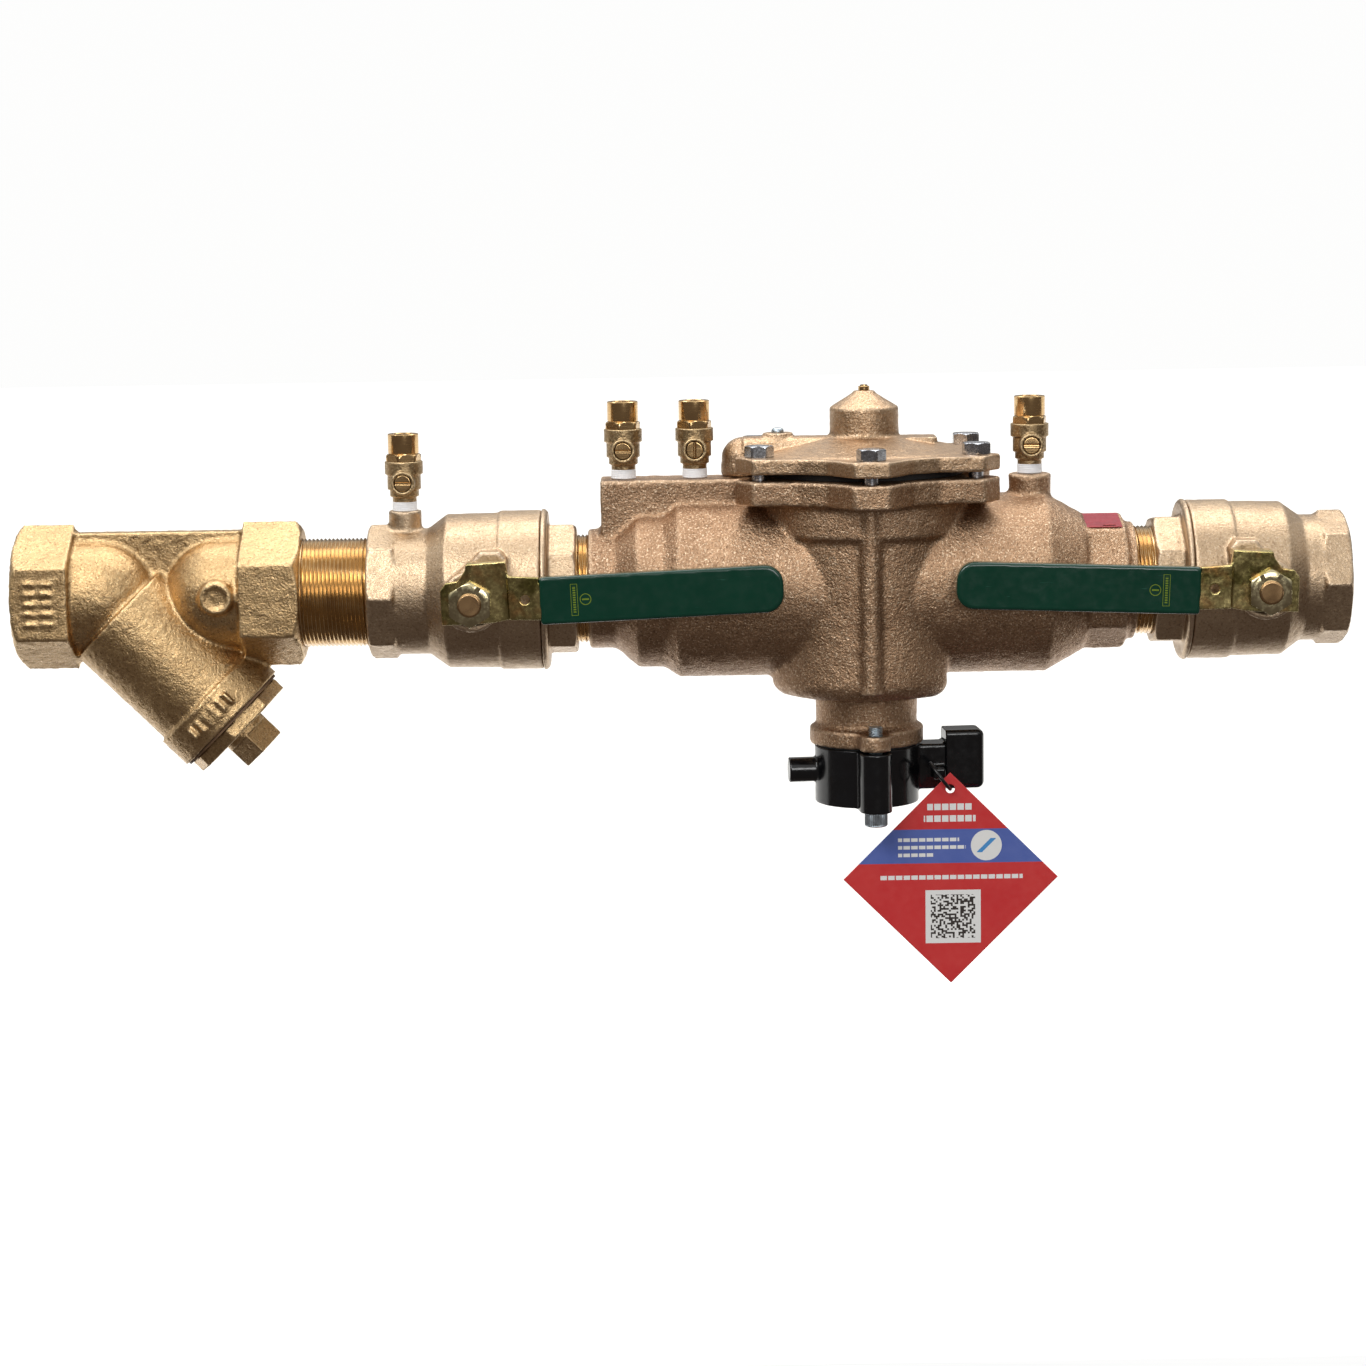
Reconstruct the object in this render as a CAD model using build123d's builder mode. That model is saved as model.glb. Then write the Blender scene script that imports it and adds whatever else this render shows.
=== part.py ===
from build123d import *
import os
from math import cos, pi, radians, sin, tan

os.makedirs("parts", exist_ok=True)

# Two-inch reduced pressure backflow preventer with a Y-strainer and two lever ball valves.
# Frame: origin at the centre of the inlet mouth, +X along the flow, +Y to the back, +Z up.
# All dimensions are in millimetres.

# --- Pipe and waterway ---------------------------------------------------------------
PIPE_RADIUS = 30.15  # two-inch threaded pipe, 60.3 outside
NIPPLE_BORE = 26.2
WATERWAY = 25.0
SOCKET_RADIUS = 28.9  # threaded sockets, at the mean radius of the tapered thread
SOCKET_DEPTH = 20.0
ENGAGEMENT = 18.0

# --- Stations along the pipe ---------------------------------------------------------
STRAINER_END = 158.0
INLET_BALL = 253.4
BODY_START = 316.0
RELIEF_AXIS = 469.6
BODY_END = 618.0
OUTLET_BALL = 683.9

# --- Ball valves: distances from the ball centre, positive towards the body end -------
INLET_NECK_END = 58.9
OUTLET_NECK_END = 50.7
TAIL_END = 56.4
VALVE_OCTAGON = 37.6
VALVE_BAND = 43.0
BALL_RADIUS = 34.0
CAVITY_RADIUS = 35.5
SEAT_POCKET = 31.5
TAIL_THREAD = 38.0
STEM_RADIUS = 8.0
STEM_END_RADIUS = 6.5
RUNNING_GAP = 0.05
LEVER_TILT = 2.2  # degrees above the pipe
LEVER_LENGTH = 169.0
GRIP_START = 37.7
GRIP_WIDTH = 25.6
HUB_BACK = 59.0  # depth in front of the pipe axis
PLATE = 4.0

# --- Main body -------------------------------------------------------------------------
CHAMBER_RADIUS = 49.8
CHAMBER_BORE = 44.5
BARREL_RADIUS = 55.3
BARREL_BOTTOM = -59.0
FLANGE_TOP = 62.0
FLANGE_BOTTOM = 48.5
COVER_BOTTOM = 65.5
COVER_RIM_TOP = 74.0
BOLT_CIRCLE = 68.0
BOLT_COUNT = 6
LOBE_RADIUS = 79.0
RIM_RADIUS = 62.0
CHANNEL_TOP = 61.1
ELBOW_X = RELIEF_AXIS - 67.0
VENT_BOTTOM = -88.5
VENT_BORE = 22.0

# --- Check valves and relief valve -----------------------------------------------------
CHECK_SEATS = {1: 358.0, 2: 511.0}  # downstream face of each seat ring
SEAT_RING_RADIUS = 39.0
SEAT_RING_LENGTH = 8.0
GUIDE_BORE = 5.05
RELIEF_SEAT_TOP = -48.0
RELIEF_TRAVEL = 7.0

# --- Test cocks: position along the pipe, height of the seat, and whether left open -----
TEST_COCKS = {
    1: (215.0, 45.2, False),
    2: (336.4, CHANNEL_TOP, False),
    3: (375.8, CHANNEL_TOP, True),
    4: (560.9, 60.7, False),
}
COCK_THREAD = 6.0
COCK_PLUG_HEIGHT = 15.8

# --- Flood sensor and tag ----------------------------------------------------------------
SENSOR_YAW = 5.0
SENSOR_BOTTOM = -121.6
SENSOR_RADIUS = 29.0
SENSOR_BORE = 20.0
CAP_START = 43.4  # distance of the cap's open end from the relief axis
TAG_SIDE = 84.5
TAG_HOLE = (RELIEF_AXIS + 45.1, -20.6, -112.6)
TAG_CORNER_RISE = 9.2
TAG_THICKNESS = 0.8
TIE_RADIUS = 1.0

TO_FRONT = (0, -1, 0)


def save(builder, name):
    builder.part.label = name
    export_step(builder.part, f"parts/{name}.step")


def turn_on_pipe(profile, mode=Mode.ADD):
    """Turn an outline of (x, radius) points about the pipe axis."""
    with BuildSketch(Plane.XZ) as section:
        with BuildLine():
            Polyline(*profile, close=True)
        make_face()
    revolve(section.sketch, axis=Axis.X, mode=mode)


def turn_upright(profile, x=RELIEF_AXIS, y=0.0, mode=Mode.ADD):
    """Turn an outline of (radius, z) points about a vertical line."""
    with BuildSketch(Plane.XZ.offset(-y)) as section:
        with BuildLine():
            Polyline(*[(x + radius, z) for radius, z in profile], close=True)
        make_face()
    revolve(section.sketch, axis=Axis((x, y, 0), (0, 0, 1)), mode=mode)


def rod(plane, radius, length, mode=Mode.ADD):
    """A round bar or bore that starts on a plane and follows its normal."""
    with BuildSketch(plane) as disc:
        Circle(radius)
    extrude(disc.sketch, amount=length, mode=mode)


def facing(x, z, depth):
    """A plane in front of the pipe axis, looking out to the front."""
    return Plane(origin=(x, -depth, z), x_dir=(1, 0, 0), z_dir=TO_FRONT)


def upright(x, z, y=0.0):
    return Plane(origin=(x, y, z), x_dir=(1, 0, 0), z_dir=(0, 0, 1))


def bevelled_prism(x_start, x_end, sides, corner_radius, turn=0.0, bevels=(True, True)):
    """A hexagon or octagon on the pipe axis, with its corners turned off at the ends."""
    flat_radius = corner_radius * cos(pi / sides)
    outside = corner_radius + 1
    bevel = (outside - flat_radius) * tan(radians(30))
    start_radius = flat_radius if bevels[0] else outside
    end_radius = flat_radius if bevels[1] else outside
    with BuildPart() as prism:
        with BuildSketch(Plane.YZ.offset(x_start)):
            RegularPolygon(corner_radius, sides, rotation=turn)
        extrude(amount=x_end - x_start)
        envelope = [(x_start, 0), (x_start, start_radius), (x_start + bevel, outside)]
        envelope += [(x_end - bevel, outside), (x_end, end_radius), (x_end, 0)]
        turn_on_pipe(envelope, Mode.INTERSECT)
    return prism.part


# --- Y-strainer ----------------------------------------------------------------------------
BRANCH_ORIGIN = (45.0, 0, 0)
COLLAR_FACE = 98.9
COLLAR_LENGTH = 19.0
SCREEN_RADIUS = 22.5
CAP_THREAD = 30.0
CAP_TOP = COLLAR_FACE + 9.0
GASKET = 1.2
STRAINER_PLUG_RADIUS = 13.3
BRANCH = Plane(origin=BRANCH_ORIGIN, x_dir=(0, 1, 0), z_dir=(1, 0, -1))

strainer_inlet_hex = bevelled_prism(0, 32, 6, 40.4, 90, (True, False))
strainer_outlet_hex = bevelled_prism(125, STRAINER_END, 6, 40.4, 90, (False, True))

with BuildPart() as strainer_body:
    add(strainer_inlet_hex)
    add(strainer_outlet_hex)
    turn_on_pipe([(20, 0), (20, 31), (45, 31), (45, 0)])
    turn_on_pipe([(112, 0), (112, 31), (135, 31), (135, 0)])
    with Locations((45, 0, 0), (112, 0, 0)):
        Sphere(31)
    rod(BRANCH.offset(14), 33.5, COLLAR_FACE - 15)
    rod(BRANCH.offset(COLLAR_FACE - COLLAR_LENGTH), 35.7, COLLAR_LENGTH)
    with BuildSketch(Plane.XZ):
        with Locations((79, 17.85)):
            Rectangle(98, 35.7)
    extrude(amount=5, both=True)
    rod(facing(113, 2, 25), 10, 9)
    inlet_bore = [(-1, 0), (-1, SOCKET_RADIUS), (SOCKET_DEPTH + 2, SOCKET_RADIUS)]
    inlet_bore += [(SOCKET_DEPTH + 2, WATERWAY), (40, WATERWAY), (40, 0)]
    turn_on_pipe(inlet_bore, Mode.SUBTRACT)
    with Locations((40, 0, 0)):
        Sphere(WATERWAY, mode=Mode.SUBTRACT)
    rod(BRANCH, 21, 30, Mode.SUBTRACT)
    rod(BRANCH.offset(26), SCREEN_RADIUS, 6, Mode.SUBTRACT)
    rod(BRANCH.offset(30), 29, 60, Mode.SUBTRACT)
    rod(BRANCH.offset(86), CAP_THREAD, 20, Mode.SUBTRACT)
    outlet_bore = [(92, 0), (92, 20), (103, 20), (108, WATERWAY), (138, WATERWAY)]
    outlet_bore += [(138, SOCKET_RADIUS), (STRAINER_END + 1, SOCKET_RADIUS), (STRAINER_END + 1, 0)]
    turn_on_pipe(outlet_bore, Mode.SUBTRACT)
save(strainer_body, "strainer_body")

with BuildPart() as strainer_screen:
    rod(BRANCH.offset(26), SCREEN_RADIUS, 72)
    rod(BRANCH.offset(25), SCREEN_RADIUS - 0.8, 74, Mode.SUBTRACT)
    for row in range(6):
        for spoke in range(4):
            direction = BRANCH.x_dir.rotate(Axis((0, 0, 0), tuple(BRANCH.z_dir)), 45 * spoke)
            hole_plane = Plane(origin=BRANCH.offset(38 + 9 * row).origin, z_dir=tuple(direction))
            with BuildSketch(hole_plane) as hole:
                Circle(2.5)
            extrude(hole.sketch, amount=SCREEN_RADIUS + 1, both=True, mode=Mode.SUBTRACT)
save(strainer_screen, "strainer_screen")

with BuildPart() as strainer_cap_gasket:
    rod(BRANCH.offset(COLLAR_FACE), 34, GASKET)
    rod(BRANCH.offset(COLLAR_FACE), CAP_THREAD, GASKET, Mode.SUBTRACT)
save(strainer_cap_gasket, "strainer_cap_gasket")

with BuildPart() as strainer_cap:
    rod(BRANCH.offset(87), CAP_THREAD, 15)
    with BuildSketch(BRANCH.offset(COLLAR_FACE + GASKET)):
        RegularPolygon(33, 8)
    extrude(amount=CAP_TOP - COLLAR_FACE - GASKET)
    rod(BRANCH.offset(86), SCREEN_RADIUS, 12, Mode.SUBTRACT)
    rod(BRANCH.offset(90), STRAINER_PLUG_RADIUS, 30, Mode.SUBTRACT)
save(strainer_cap, "strainer_cap")

with BuildPart() as strainer_plug:
    rod(BRANCH.offset(96), STRAINER_PLUG_RADIUS, CAP_TOP + 3.6 - 96)
    with BuildSketch(BRANCH.offset(CAP_TOP + 3.6)):
        Rectangle(19, 19, rotation=40)
    extrude(amount=12.6)
save(strainer_plug, "strainer_plug")


# --- Nipples -----------------------------------------------------------------------------------
def nipple(start_face, end_face):
    """A pipe nipple: full diameter between the faces, screwed into the socket at each end."""
    start = start_face - ENGAGEMENT
    end = end_face + ENGAGEMENT
    outline = [(start, NIPPLE_BORE), (start, SOCKET_RADIUS), (start_face, SOCKET_RADIUS)]
    outline += [(start_face, PIPE_RADIUS), (end_face, PIPE_RADIUS), (end_face, SOCKET_RADIUS)]
    outline += [(end, SOCKET_RADIUS), (end, NIPPLE_BORE)]
    with BuildPart() as pipe:
        turn_on_pipe(outline)
    return pipe


save(nipple(STRAINER_END, INLET_BALL - INLET_NECK_END), "strainer_nipple")
save(nipple(INLET_BALL + TAIL_END, BODY_START), "inlet_nipple")
save(nipple(BODY_END, OUTLET_BALL - TAIL_END), "outlet_nipple")


# --- Ball valves ---------------------------------------------------------------------------------
def build_valve(prefix, ball, side, neck_end, tail_turn, cock=None):
    """side is -1 where the valve's body end faces upstream and +1 where it faces downstream."""

    def along(points):
        return [(ball + side * distance, radius) for distance, radius in points]

    def out(distance):
        return ball - side * distance

    neck_prism = bevelled_prism(
        min(ball + side * neck_end, ball + side * (neck_end - 16)),
        max(ball + side * neck_end, ball + side * (neck_end - 16)),
        8,
        VALVE_OCTAGON,
    )
    tail_prism = bevelled_prism(
        min(out(TAIL_END), out(40)), max(out(TAIL_END), out(40)), 8, 36.9, tail_turn
    )

    with BuildPart() as body:
        add(neck_prism)
        shell = [(neck_end - 14, 0), (neck_end - 14, 34.9), (25.8, 34.9), (15.2, 42.6)]
        shell += [(-14.1, VALVE_BAND), (-14.1, 44.1), (-30.4, 44.1), (-30.4, 43.4), (-31.2, 43.4)]
        shell += [(-31.2, 44.1), (-37, 44.1), (-37, 0)]
        turn_on_pipe(along(shell))
        rod(facing(ball, 0, 30), 16.5, 24)
        stop_pad = [(-13, 0), (-13, 10), (3, 24), (5, 26.5), (16, 26.5), (19.5, 22), (16.5, 0)]
        with BuildSketch(facing(0, 0, 36)) as pad:
            with BuildLine():
                Polyline(*[(out(u), w) for u, w in stop_pad], close=True)
            make_face()
        extrude(pad.sketch, amount=13)
        if cock:
            rod(upright(cock[0], 20), 9.15, cock[1] - 20)
        cavity = [(neck_end + 1, 0), (neck_end + 1, SOCKET_RADIUS)]
        cavity += [(neck_end - SOCKET_DEPTH, SOCKET_RADIUS), (neck_end - SOCKET_DEPTH, WATERWAY)]
        cavity += [(26, WATERWAY), (26, SEAT_POCKET), (14, SEAT_POCKET), (14, CAVITY_RADIUS)]
        cavity += [(-15, CAVITY_RADIUS), (-15, TAIL_THREAD), (-38, TAIL_THREAD), (-38, 0)]
        turn_on_pipe(along(cavity), Mode.SUBTRACT)
        rod(facing(ball, 0, 30), 10.4, 8.5, Mode.SUBTRACT)
        rod(facing(ball, 0, 30), STEM_RADIUS + RUNNING_GAP, 30, Mode.SUBTRACT)
        rod(facing(ball, 0, 46), 12.5, 10, Mode.SUBTRACT)
        if cock:
            rod(upright(cock[0], cock[1] - 11), COCK_THREAD, 12, Mode.SUBTRACT)
            rod(upright(cock[0], 20), 3, 20, Mode.SUBTRACT)
    save(body, f"{prefix}_valve_body")

    with BuildPart() as tailpiece:
        add(tail_prism)
        turn_on_pipe(along([(-15, 0), (-15, TAIL_THREAD), (-37, TAIL_THREAD), (-37, 44.6),
                            (-39, 44.6), (-40.6, 43), (-40.6, 0)]))
        bore = [(-TAIL_END - 1, 0), (-TAIL_END - 1, SOCKET_RADIUS)]
        bore += [(SOCKET_DEPTH - TAIL_END, SOCKET_RADIUS), (SOCKET_DEPTH - TAIL_END, WATERWAY)]
        bore += [(-26, WATERWAY), (-26, SEAT_POCKET), (-14, SEAT_POCKET), (-14, 0)]
        turn_on_pipe(along(bore), Mode.SUBTRACT)
    save(tailpiece, f"{prefix}_valve_tailpiece")

    with BuildPart() as sphere:
        with Locations((ball, 0, 0)):
            Sphere(BALL_RADIUS)
        rod(Plane.YZ.offset(ball - 40), WATERWAY, 80, Mode.SUBTRACT)
        with BuildSketch(facing(ball, 0, 27)):
            Rectangle(8, 60)
        extrude(amount=10, mode=Mode.SUBTRACT)
    save(sphere, f"{prefix}_valve_ball")

    with BuildPart() as stem:
        with BuildSketch(facing(ball, 0, 27.2)):
            Rectangle(7.8, 17.5)
        extrude(amount=9)
        rod(facing(ball, 0, 35.3), 10, 2.9)
        rod(facing(ball, 0, 36), STEM_RADIUS, HUB_BACK - 0.5 - 36)
        rod(facing(ball, 0, 50), STEM_END_RADIUS, 19)
        chamfer(stem.edges().sort_by(Axis.Y)[0], 0.8)
    save(stem, f"{prefix}_valve_stem")

    lever_dir = (-side * cos(radians(LEVER_TILT)), 0, sin(radians(LEVER_TILT)))

    def lever_plane(depth):
        return Plane(origin=(ball, -depth, 0), x_dir=lever_dir, z_dir=(0, side, 0))

    def lever_plate(points, depth, thickness):
        with BuildSketch(lever_plane(depth)) as outline:
            with BuildLine():
                Polyline(*points, close=True)
            make_face()
        extrude(outline.sketch, amount=thickness, dir=TO_FRONT)

    with BuildPart() as handle:
        hub = [(-15.6, -10.8), (-15.6, 8), (-12.5, 12), (-6, 12.8), (-1.5, 18.5), (-1, 21.5)]
        hub += [(20.5, 22), (21.5, 14.3), (24, 13.8), (24, -9.8), (21.5, -9.3), (12, -10.8)]
        lever_plate(hub, HUB_BACK, PLATE)
        neck = [(21, -9.3), (38, -10.4), (38, 12.7), (21, 14.3)]
        lever_plate(neck, HUB_BACK + 2.5, PLATE)
        core = [(37, -9.5), (160, -9.5), (164, -6), (164, 6), (160, 9.5), (37, 9.5)]
        lever_plate(core, HUB_BACK + 2.5, PLATE)
        top_tab = [(-1, 18.5), (-1, 22), (20.5, 22), (20.5, 18.5)]
        lever_plate(top_tab, HUB_BACK - 8.5, 9)
        end_tab = [(-15.6, -8.5), (-15.6, 6), (-14.3, 6), (-14.3, -8.5)]
        lever_plate(end_tab, HUB_BACK - 4.5, 5)
        with BuildSketch(lever_plane(HUB_BACK - 1)) as holes:
            Circle(STEM_END_RADIUS)
            with Locations((30, 1.2)):
                Circle(2.6)
        extrude(holes.sketch, amount=PLATE + 6, dir=TO_FRONT, mode=Mode.SUBTRACT)
    save(handle, f"{prefix}_valve_handle")

    with BuildPart() as grip:
        grip_length = LEVER_LENGTH - GRIP_START
        with BuildSketch(lever_plane(HUB_BACK + 0.5)) as sleeve:
            with Locations((GRIP_START + grip_length / 2, 0)):
                RectangleRounded(grip_length, GRIP_WIDTH, 10)
            with Locations((GRIP_START + 10, 0)):
                Rectangle(20, GRIP_WIDTH)
        extrude(sleeve.sketch, amount=8, dir=TO_FRONT)
        slot_outline = [(GRIP_START - 2, 12.75), (GRIP_START - 2, -12.75), (38, -12.75), (38, -9.5)]
        slot_outline += [(160, -9.5), (164, -6), (164, 6), (160, 9.5), (38, 9.5), (38, 12.75)]
        with BuildSketch(lever_plane(HUB_BACK + 2.5)) as slot:
            with BuildLine():
                Polyline(*slot_outline, close=True)
            make_face()
        extrude(slot.sketch, amount=PLATE, dir=TO_FRONT, mode=Mode.SUBTRACT)
    save(grip, f"{prefix}_valve_grip")

    with BuildPart() as handle_nut:
        with BuildSketch(facing(ball, 0, HUB_BACK + PLATE)):
            RegularPolygon(12.8, 6)
            Circle(STEM_END_RADIUS, mode=Mode.SUBTRACT)
        extrude(amount=4.2)
    save(handle_nut, f"{prefix}_valve_handle_nut")


build_valve("inlet", INLET_BALL, -1, INLET_NECK_END, 8, TEST_COCKS[1])
build_valve("outlet", OUTLET_BALL, 1, OUTLET_NECK_END, 13.6)

# The two seat rings and the stem packing of both valves, as one group of separate rings.
SEAT_RING = [(23.8, WATERWAY), (17.9, 29.5), (17.9, SEAT_POCKET), (26, SEAT_POCKET), (26, WATERWAY)]
with BuildPart() as valve_seals:
    for ball in (INLET_BALL, OUTLET_BALL):
        for end in (-1, 1):
            turn_on_pipe([(ball + end * distance, radius) for distance, radius in SEAT_RING])
        with BuildSketch(facing(ball, 0, 46)) as packing:
            Circle(12.5)
            Circle(STEM_RADIUS + RUNNING_GAP, mode=Mode.SUBTRACT)
        extrude(packing.sketch, amount=4.5)
save(valve_seals, "valve_seals")

with BuildPart() as valve_gland_nuts:
    for ball in (INLET_BALL, OUTLET_BALL):
        rod(facing(ball, 0, 50.5), 12.5, 3.5)
        with BuildSketch(facing(ball, 0, 54)) as gland_hex:
            RegularPolygon(13.9, 6)
        extrude(gland_hex.sketch, amount=3.5)
        rod(facing(ball, 0, 50), STEM_RADIUS + RUNNING_GAP, 8, Mode.SUBTRACT)
save(valve_gland_nuts, "valve_gland_nuts")


# --- Main body -------------------------------------------------------------------------------------
def polar(radius, angle):
    return (radius * cos(radians(angle)), radius * sin(radians(angle)))


def flange_outline():
    """The six-lobed outline that the body flange and the cover share."""
    points = []
    for bolt in range(BOLT_COUNT):
        angle = 30 + 360 / BOLT_COUNT * bolt
        points += [polar(RIM_RADIUS, angle - 22), polar(LOBE_RADIUS, angle - 7)]
        points += [polar(LOBE_RADIUS, angle + 7), polar(RIM_RADIUS, angle + 22)]
    return points


def flange_plate(z_low, z_high):
    with BuildSketch(upright(RELIEF_AXIS, z_low)) as plate:
        with BuildLine():
            Polyline(*flange_outline(), close=True)
        make_face()
        fillet(plate.vertices(), 3)
    extrude(plate.sketch, amount=z_high - z_low)


def sensor_direction(angle):
    """A horizontal unit vector turned with the sensor, 0 degrees being along the flow."""
    return (cos(radians(angle + SENSOR_YAW)), sin(radians(angle + SENSOR_YAW)))


def sensor_point(radius, angle):
    across, back = sensor_direction(angle)
    return (RELIEF_AXIS + radius * across, radius * back)


SCREW_POINTS = [sensor_point(35, -90), sensor_point(35, 90)]

with BuildPart() as barrel:
    with BuildSketch(Plane.XY.offset(BARREL_BOTTOM)):
        with Locations((RELIEF_AXIS, 0)):
            Circle(BARREL_RADIUS)
        with Locations((RELIEF_AXIS - 4.75, 0)):
            Rectangle(95.5, 130, mode=Mode.INTERSECT)
    extrude(amount=48 - BARREL_BOTTOM)
    fillet(barrel.edges().filter_by(Axis.Z), 12)
    fillet(barrel.faces().sort_by(Axis.Z)[0].edges(), 9)

outlet_octagon = bevelled_prism(584, 612.6, 8, 37.9, -9)

with BuildPart() as main_body:
    shell = [(BODY_START, 0), (BODY_START, 33.2), (330.6, 33.2), (343.4, 44.2), (357.4, 44.2)]
    shell += [(365.8, CHAMBER_RADIUS), (568.5, CHAMBER_RADIUS), (589.6, 38), (589.6, 32.6)]
    shell += [(BODY_END, 32.6), (BODY_END, 0)]
    turn_on_pipe(shell)
    add(outlet_octagon)
    add(barrel.part)
    rod(upright(RELIEF_AXIS, -54, -54), 6, 102)
    rod(upright(RELIEF_AXIS, 30), 58, 19)
    flange_plate(FLANGE_BOTTOM, FLANGE_TOP)
    with BuildSketch(Plane.XY.offset(20)):
        with Locations((366.8, 0)):
            Rectangle(86.4, 32)
    extrude(amount=CHANNEL_TOP - 20)
    rod(upright(TEST_COCKS[4][0], 35), 11.7, TEST_COCKS[4][1] - 35)
    rod(upright(ELBOW_X, 50), 12.4, FLANGE_TOP - 50)
    vent = [(0, -50), (25.7, -50), (25.7, -60.5), (28.3, -62), (28.3, -78), (31.8, -78.8)]
    vent += [(31.8, VENT_BOTTOM), (0, VENT_BOTTOM)]
    turn_upright(vent)
    with BuildSketch(Plane.XY.offset(VENT_BOTTOM)) as lugs:
        for screw_x, screw_y in SCREW_POINTS:
            with Locations((screw_x, screw_y)):
                Circle(8.6)
        with Locations(((RELIEF_AXIS, 0))):
            Rectangle(17.2, 70, rotation=SENSOR_YAW)
    extrude(lugs.sketch, amount=9)
    waterway = [(BODY_START - 1, 0), (BODY_START - 1, SOCKET_RADIUS)]
    waterway += [(BODY_START + SOCKET_DEPTH, SOCKET_RADIUS), (BODY_START + SOCKET_DEPTH, WATERWAY)]
    waterway += [(350, WATERWAY), (350, SEAT_RING_RADIUS), (361, SEAT_RING_RADIUS)]
    waterway += [(367, CHAMBER_BORE), (492, CHAMBER_BORE), (492, 37), (503, 37)]
    waterway += [(503, SEAT_RING_RADIUS), (511, SEAT_RING_RADIUS), (511, CHAMBER_BORE)]
    waterway += [(565, CHAMBER_BORE), (584, WATERWAY), (BODY_END - SOCKET_DEPTH, WATERWAY)]
    waterway += [(BODY_END - SOCKET_DEPTH, SOCKET_RADIUS), (BODY_END + 1, SOCKET_RADIUS)]
    waterway += [(BODY_END + 1, 0)]
    turn_on_pipe(waterway, Mode.SUBTRACT)
    well = [(0, -50), (27, -50), (27, 30), (33, 30), (33, 50.5), (44, 50.5)]
    well += [(44, FLANGE_TOP + 1), (0, FLANGE_TOP + 1)]
    turn_upright(well, mode=Mode.SUBTRACT)
    rod(upright(RELIEF_AXIS, VENT_BOTTOM - 1), VENT_BORE, 45, Mode.SUBTRACT)
    for number, bottom in {2: 20, 3: 40, 4: 40}.items():
        cock_x, cock_seat = TEST_COCKS[number][:2]
        rod(upright(cock_x, cock_seat - 11), COCK_THREAD, 12, Mode.SUBTRACT)
        rod(upright(cock_x, bottom), 3.5, cock_seat - bottom, Mode.SUBTRACT)
    gallery_x = TEST_COCKS[2][0]
    rod(Plane(origin=(gallery_x - 2, 9.5, 54), z_dir=(1, 0, 0)), 3.4, ELBOW_X - gallery_x + 4,
        Mode.SUBTRACT)
    rod(upright(gallery_x, 42, 9.5), 2.9, 12, Mode.SUBTRACT)
    rod(Plane(origin=(gallery_x, 0, 45), z_dir=(0, 1, 0)), 2.5, 11, Mode.SUBTRACT)
    rod(Plane(origin=(ELBOW_X, 0, 54), z_dir=(0, 1, 0)), 2.5, 11, Mode.SUBTRACT)
    rod(upright(ELBOW_X, 52), 3.2, 14, Mode.SUBTRACT)
    with BuildSketch(upright(RELIEF_AXIS, FLANGE_BOTTOM - 1)) as bolt_holes:
        with PolarLocations(BOLT_CIRCLE, BOLT_COUNT, start_angle=30):
            Circle(4)
    extrude(bolt_holes.sketch, amount=16, mode=Mode.SUBTRACT)
    for screw_x, screw_y in SCREW_POINTS:
        rod(upright(screw_x, VENT_BOTTOM - 1, screw_y), 4, 11, Mode.SUBTRACT)
save(main_body, "main_body")

# --- Cover --------------------------------------------------------------------------------------------
with BuildPart() as cover:
    flange_plate(COVER_BOTTOM, COVER_RIM_TOP)
    dome = [(0, 68), (59, 68), (59, COVER_RIM_TOP), (56, 75.2), (19.2, 82.6), (19, 98.5)]
    dome += [(6.1, 106.5), (6.1, 107.6), (0, 107.6)]
    turn_upright(dome)
    with BuildSketch(upright(RELIEF_AXIS, COVER_BOTTOM)) as bosses:
        with PolarLocations(BOLT_CIRCLE, BOLT_COUNT, start_angle=30):
            Circle(9.4)
    extrude(bosses.sketch, amount=74.5 - COVER_BOTTOM)
    with BuildSketch(Plane.YZ.offset(ELBOW_X)) as elbow:
        with Locations((0, 74.5)):
            RectangleRounded(24, 17, 8)
    extrude(elbow.sketch, amount=55)
    rod(upright(ELBOW_X, FLANGE_TOP), 11.5, 9)
    with BuildSketch(upright(ELBOW_X, FLANGE_TOP)) as foot:
        Circle(12.4)
    extrude(foot.sketch, amount=6.5)
    with BuildPart(mode=Mode.PRIVATE) as bend:
        with Locations((ELBOW_X, 0, 71)):
            Sphere(12)
        split(bisect_by=Plane.XY.offset(64), keep=Keep.TOP)
    add(bend.part)
    rod(upright(RELIEF_AXIS - 47.8, 80), 8.35, 5)
    with BuildSketch(upright(RELIEF_AXIS + 24, 73)) as pad:
        RectangleRounded(32, 24, 5)
    extrude(pad.sketch, amount=9)
    hollow = [(0, COVER_BOTTOM - 1), (48, COVER_BOTTOM - 1), (48, 69.5), (14, 76.5), (14, 92)]
    hollow += [(0, 92)]
    turn_upright(hollow, mode=Mode.SUBTRACT)
    rod(upright(ELBOW_X, FLANGE_TOP - 1), 3.2, 15.5, Mode.SUBTRACT)
    rod(Plane(origin=(ELBOW_X, 0, 76), z_dir=(1, 0, 0)), 3.2, 55, Mode.SUBTRACT)
    rod(upright(RELIEF_AXIS - 47.8, 76), 2.5, 10, Mode.SUBTRACT)
    rod(upright(RELIEF_AXIS, 90), 2.5, 20, Mode.SUBTRACT)
    with BuildSketch(upright(RELIEF_AXIS, COVER_BOTTOM - 1)) as cover_holes:
        with PolarLocations(BOLT_CIRCLE, BOLT_COUNT, start_angle=30):
            Circle(4.3)
    extrude(cover_holes.sketch, amount=12, mode=Mode.SUBTRACT)
save(cover, "cover")

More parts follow.
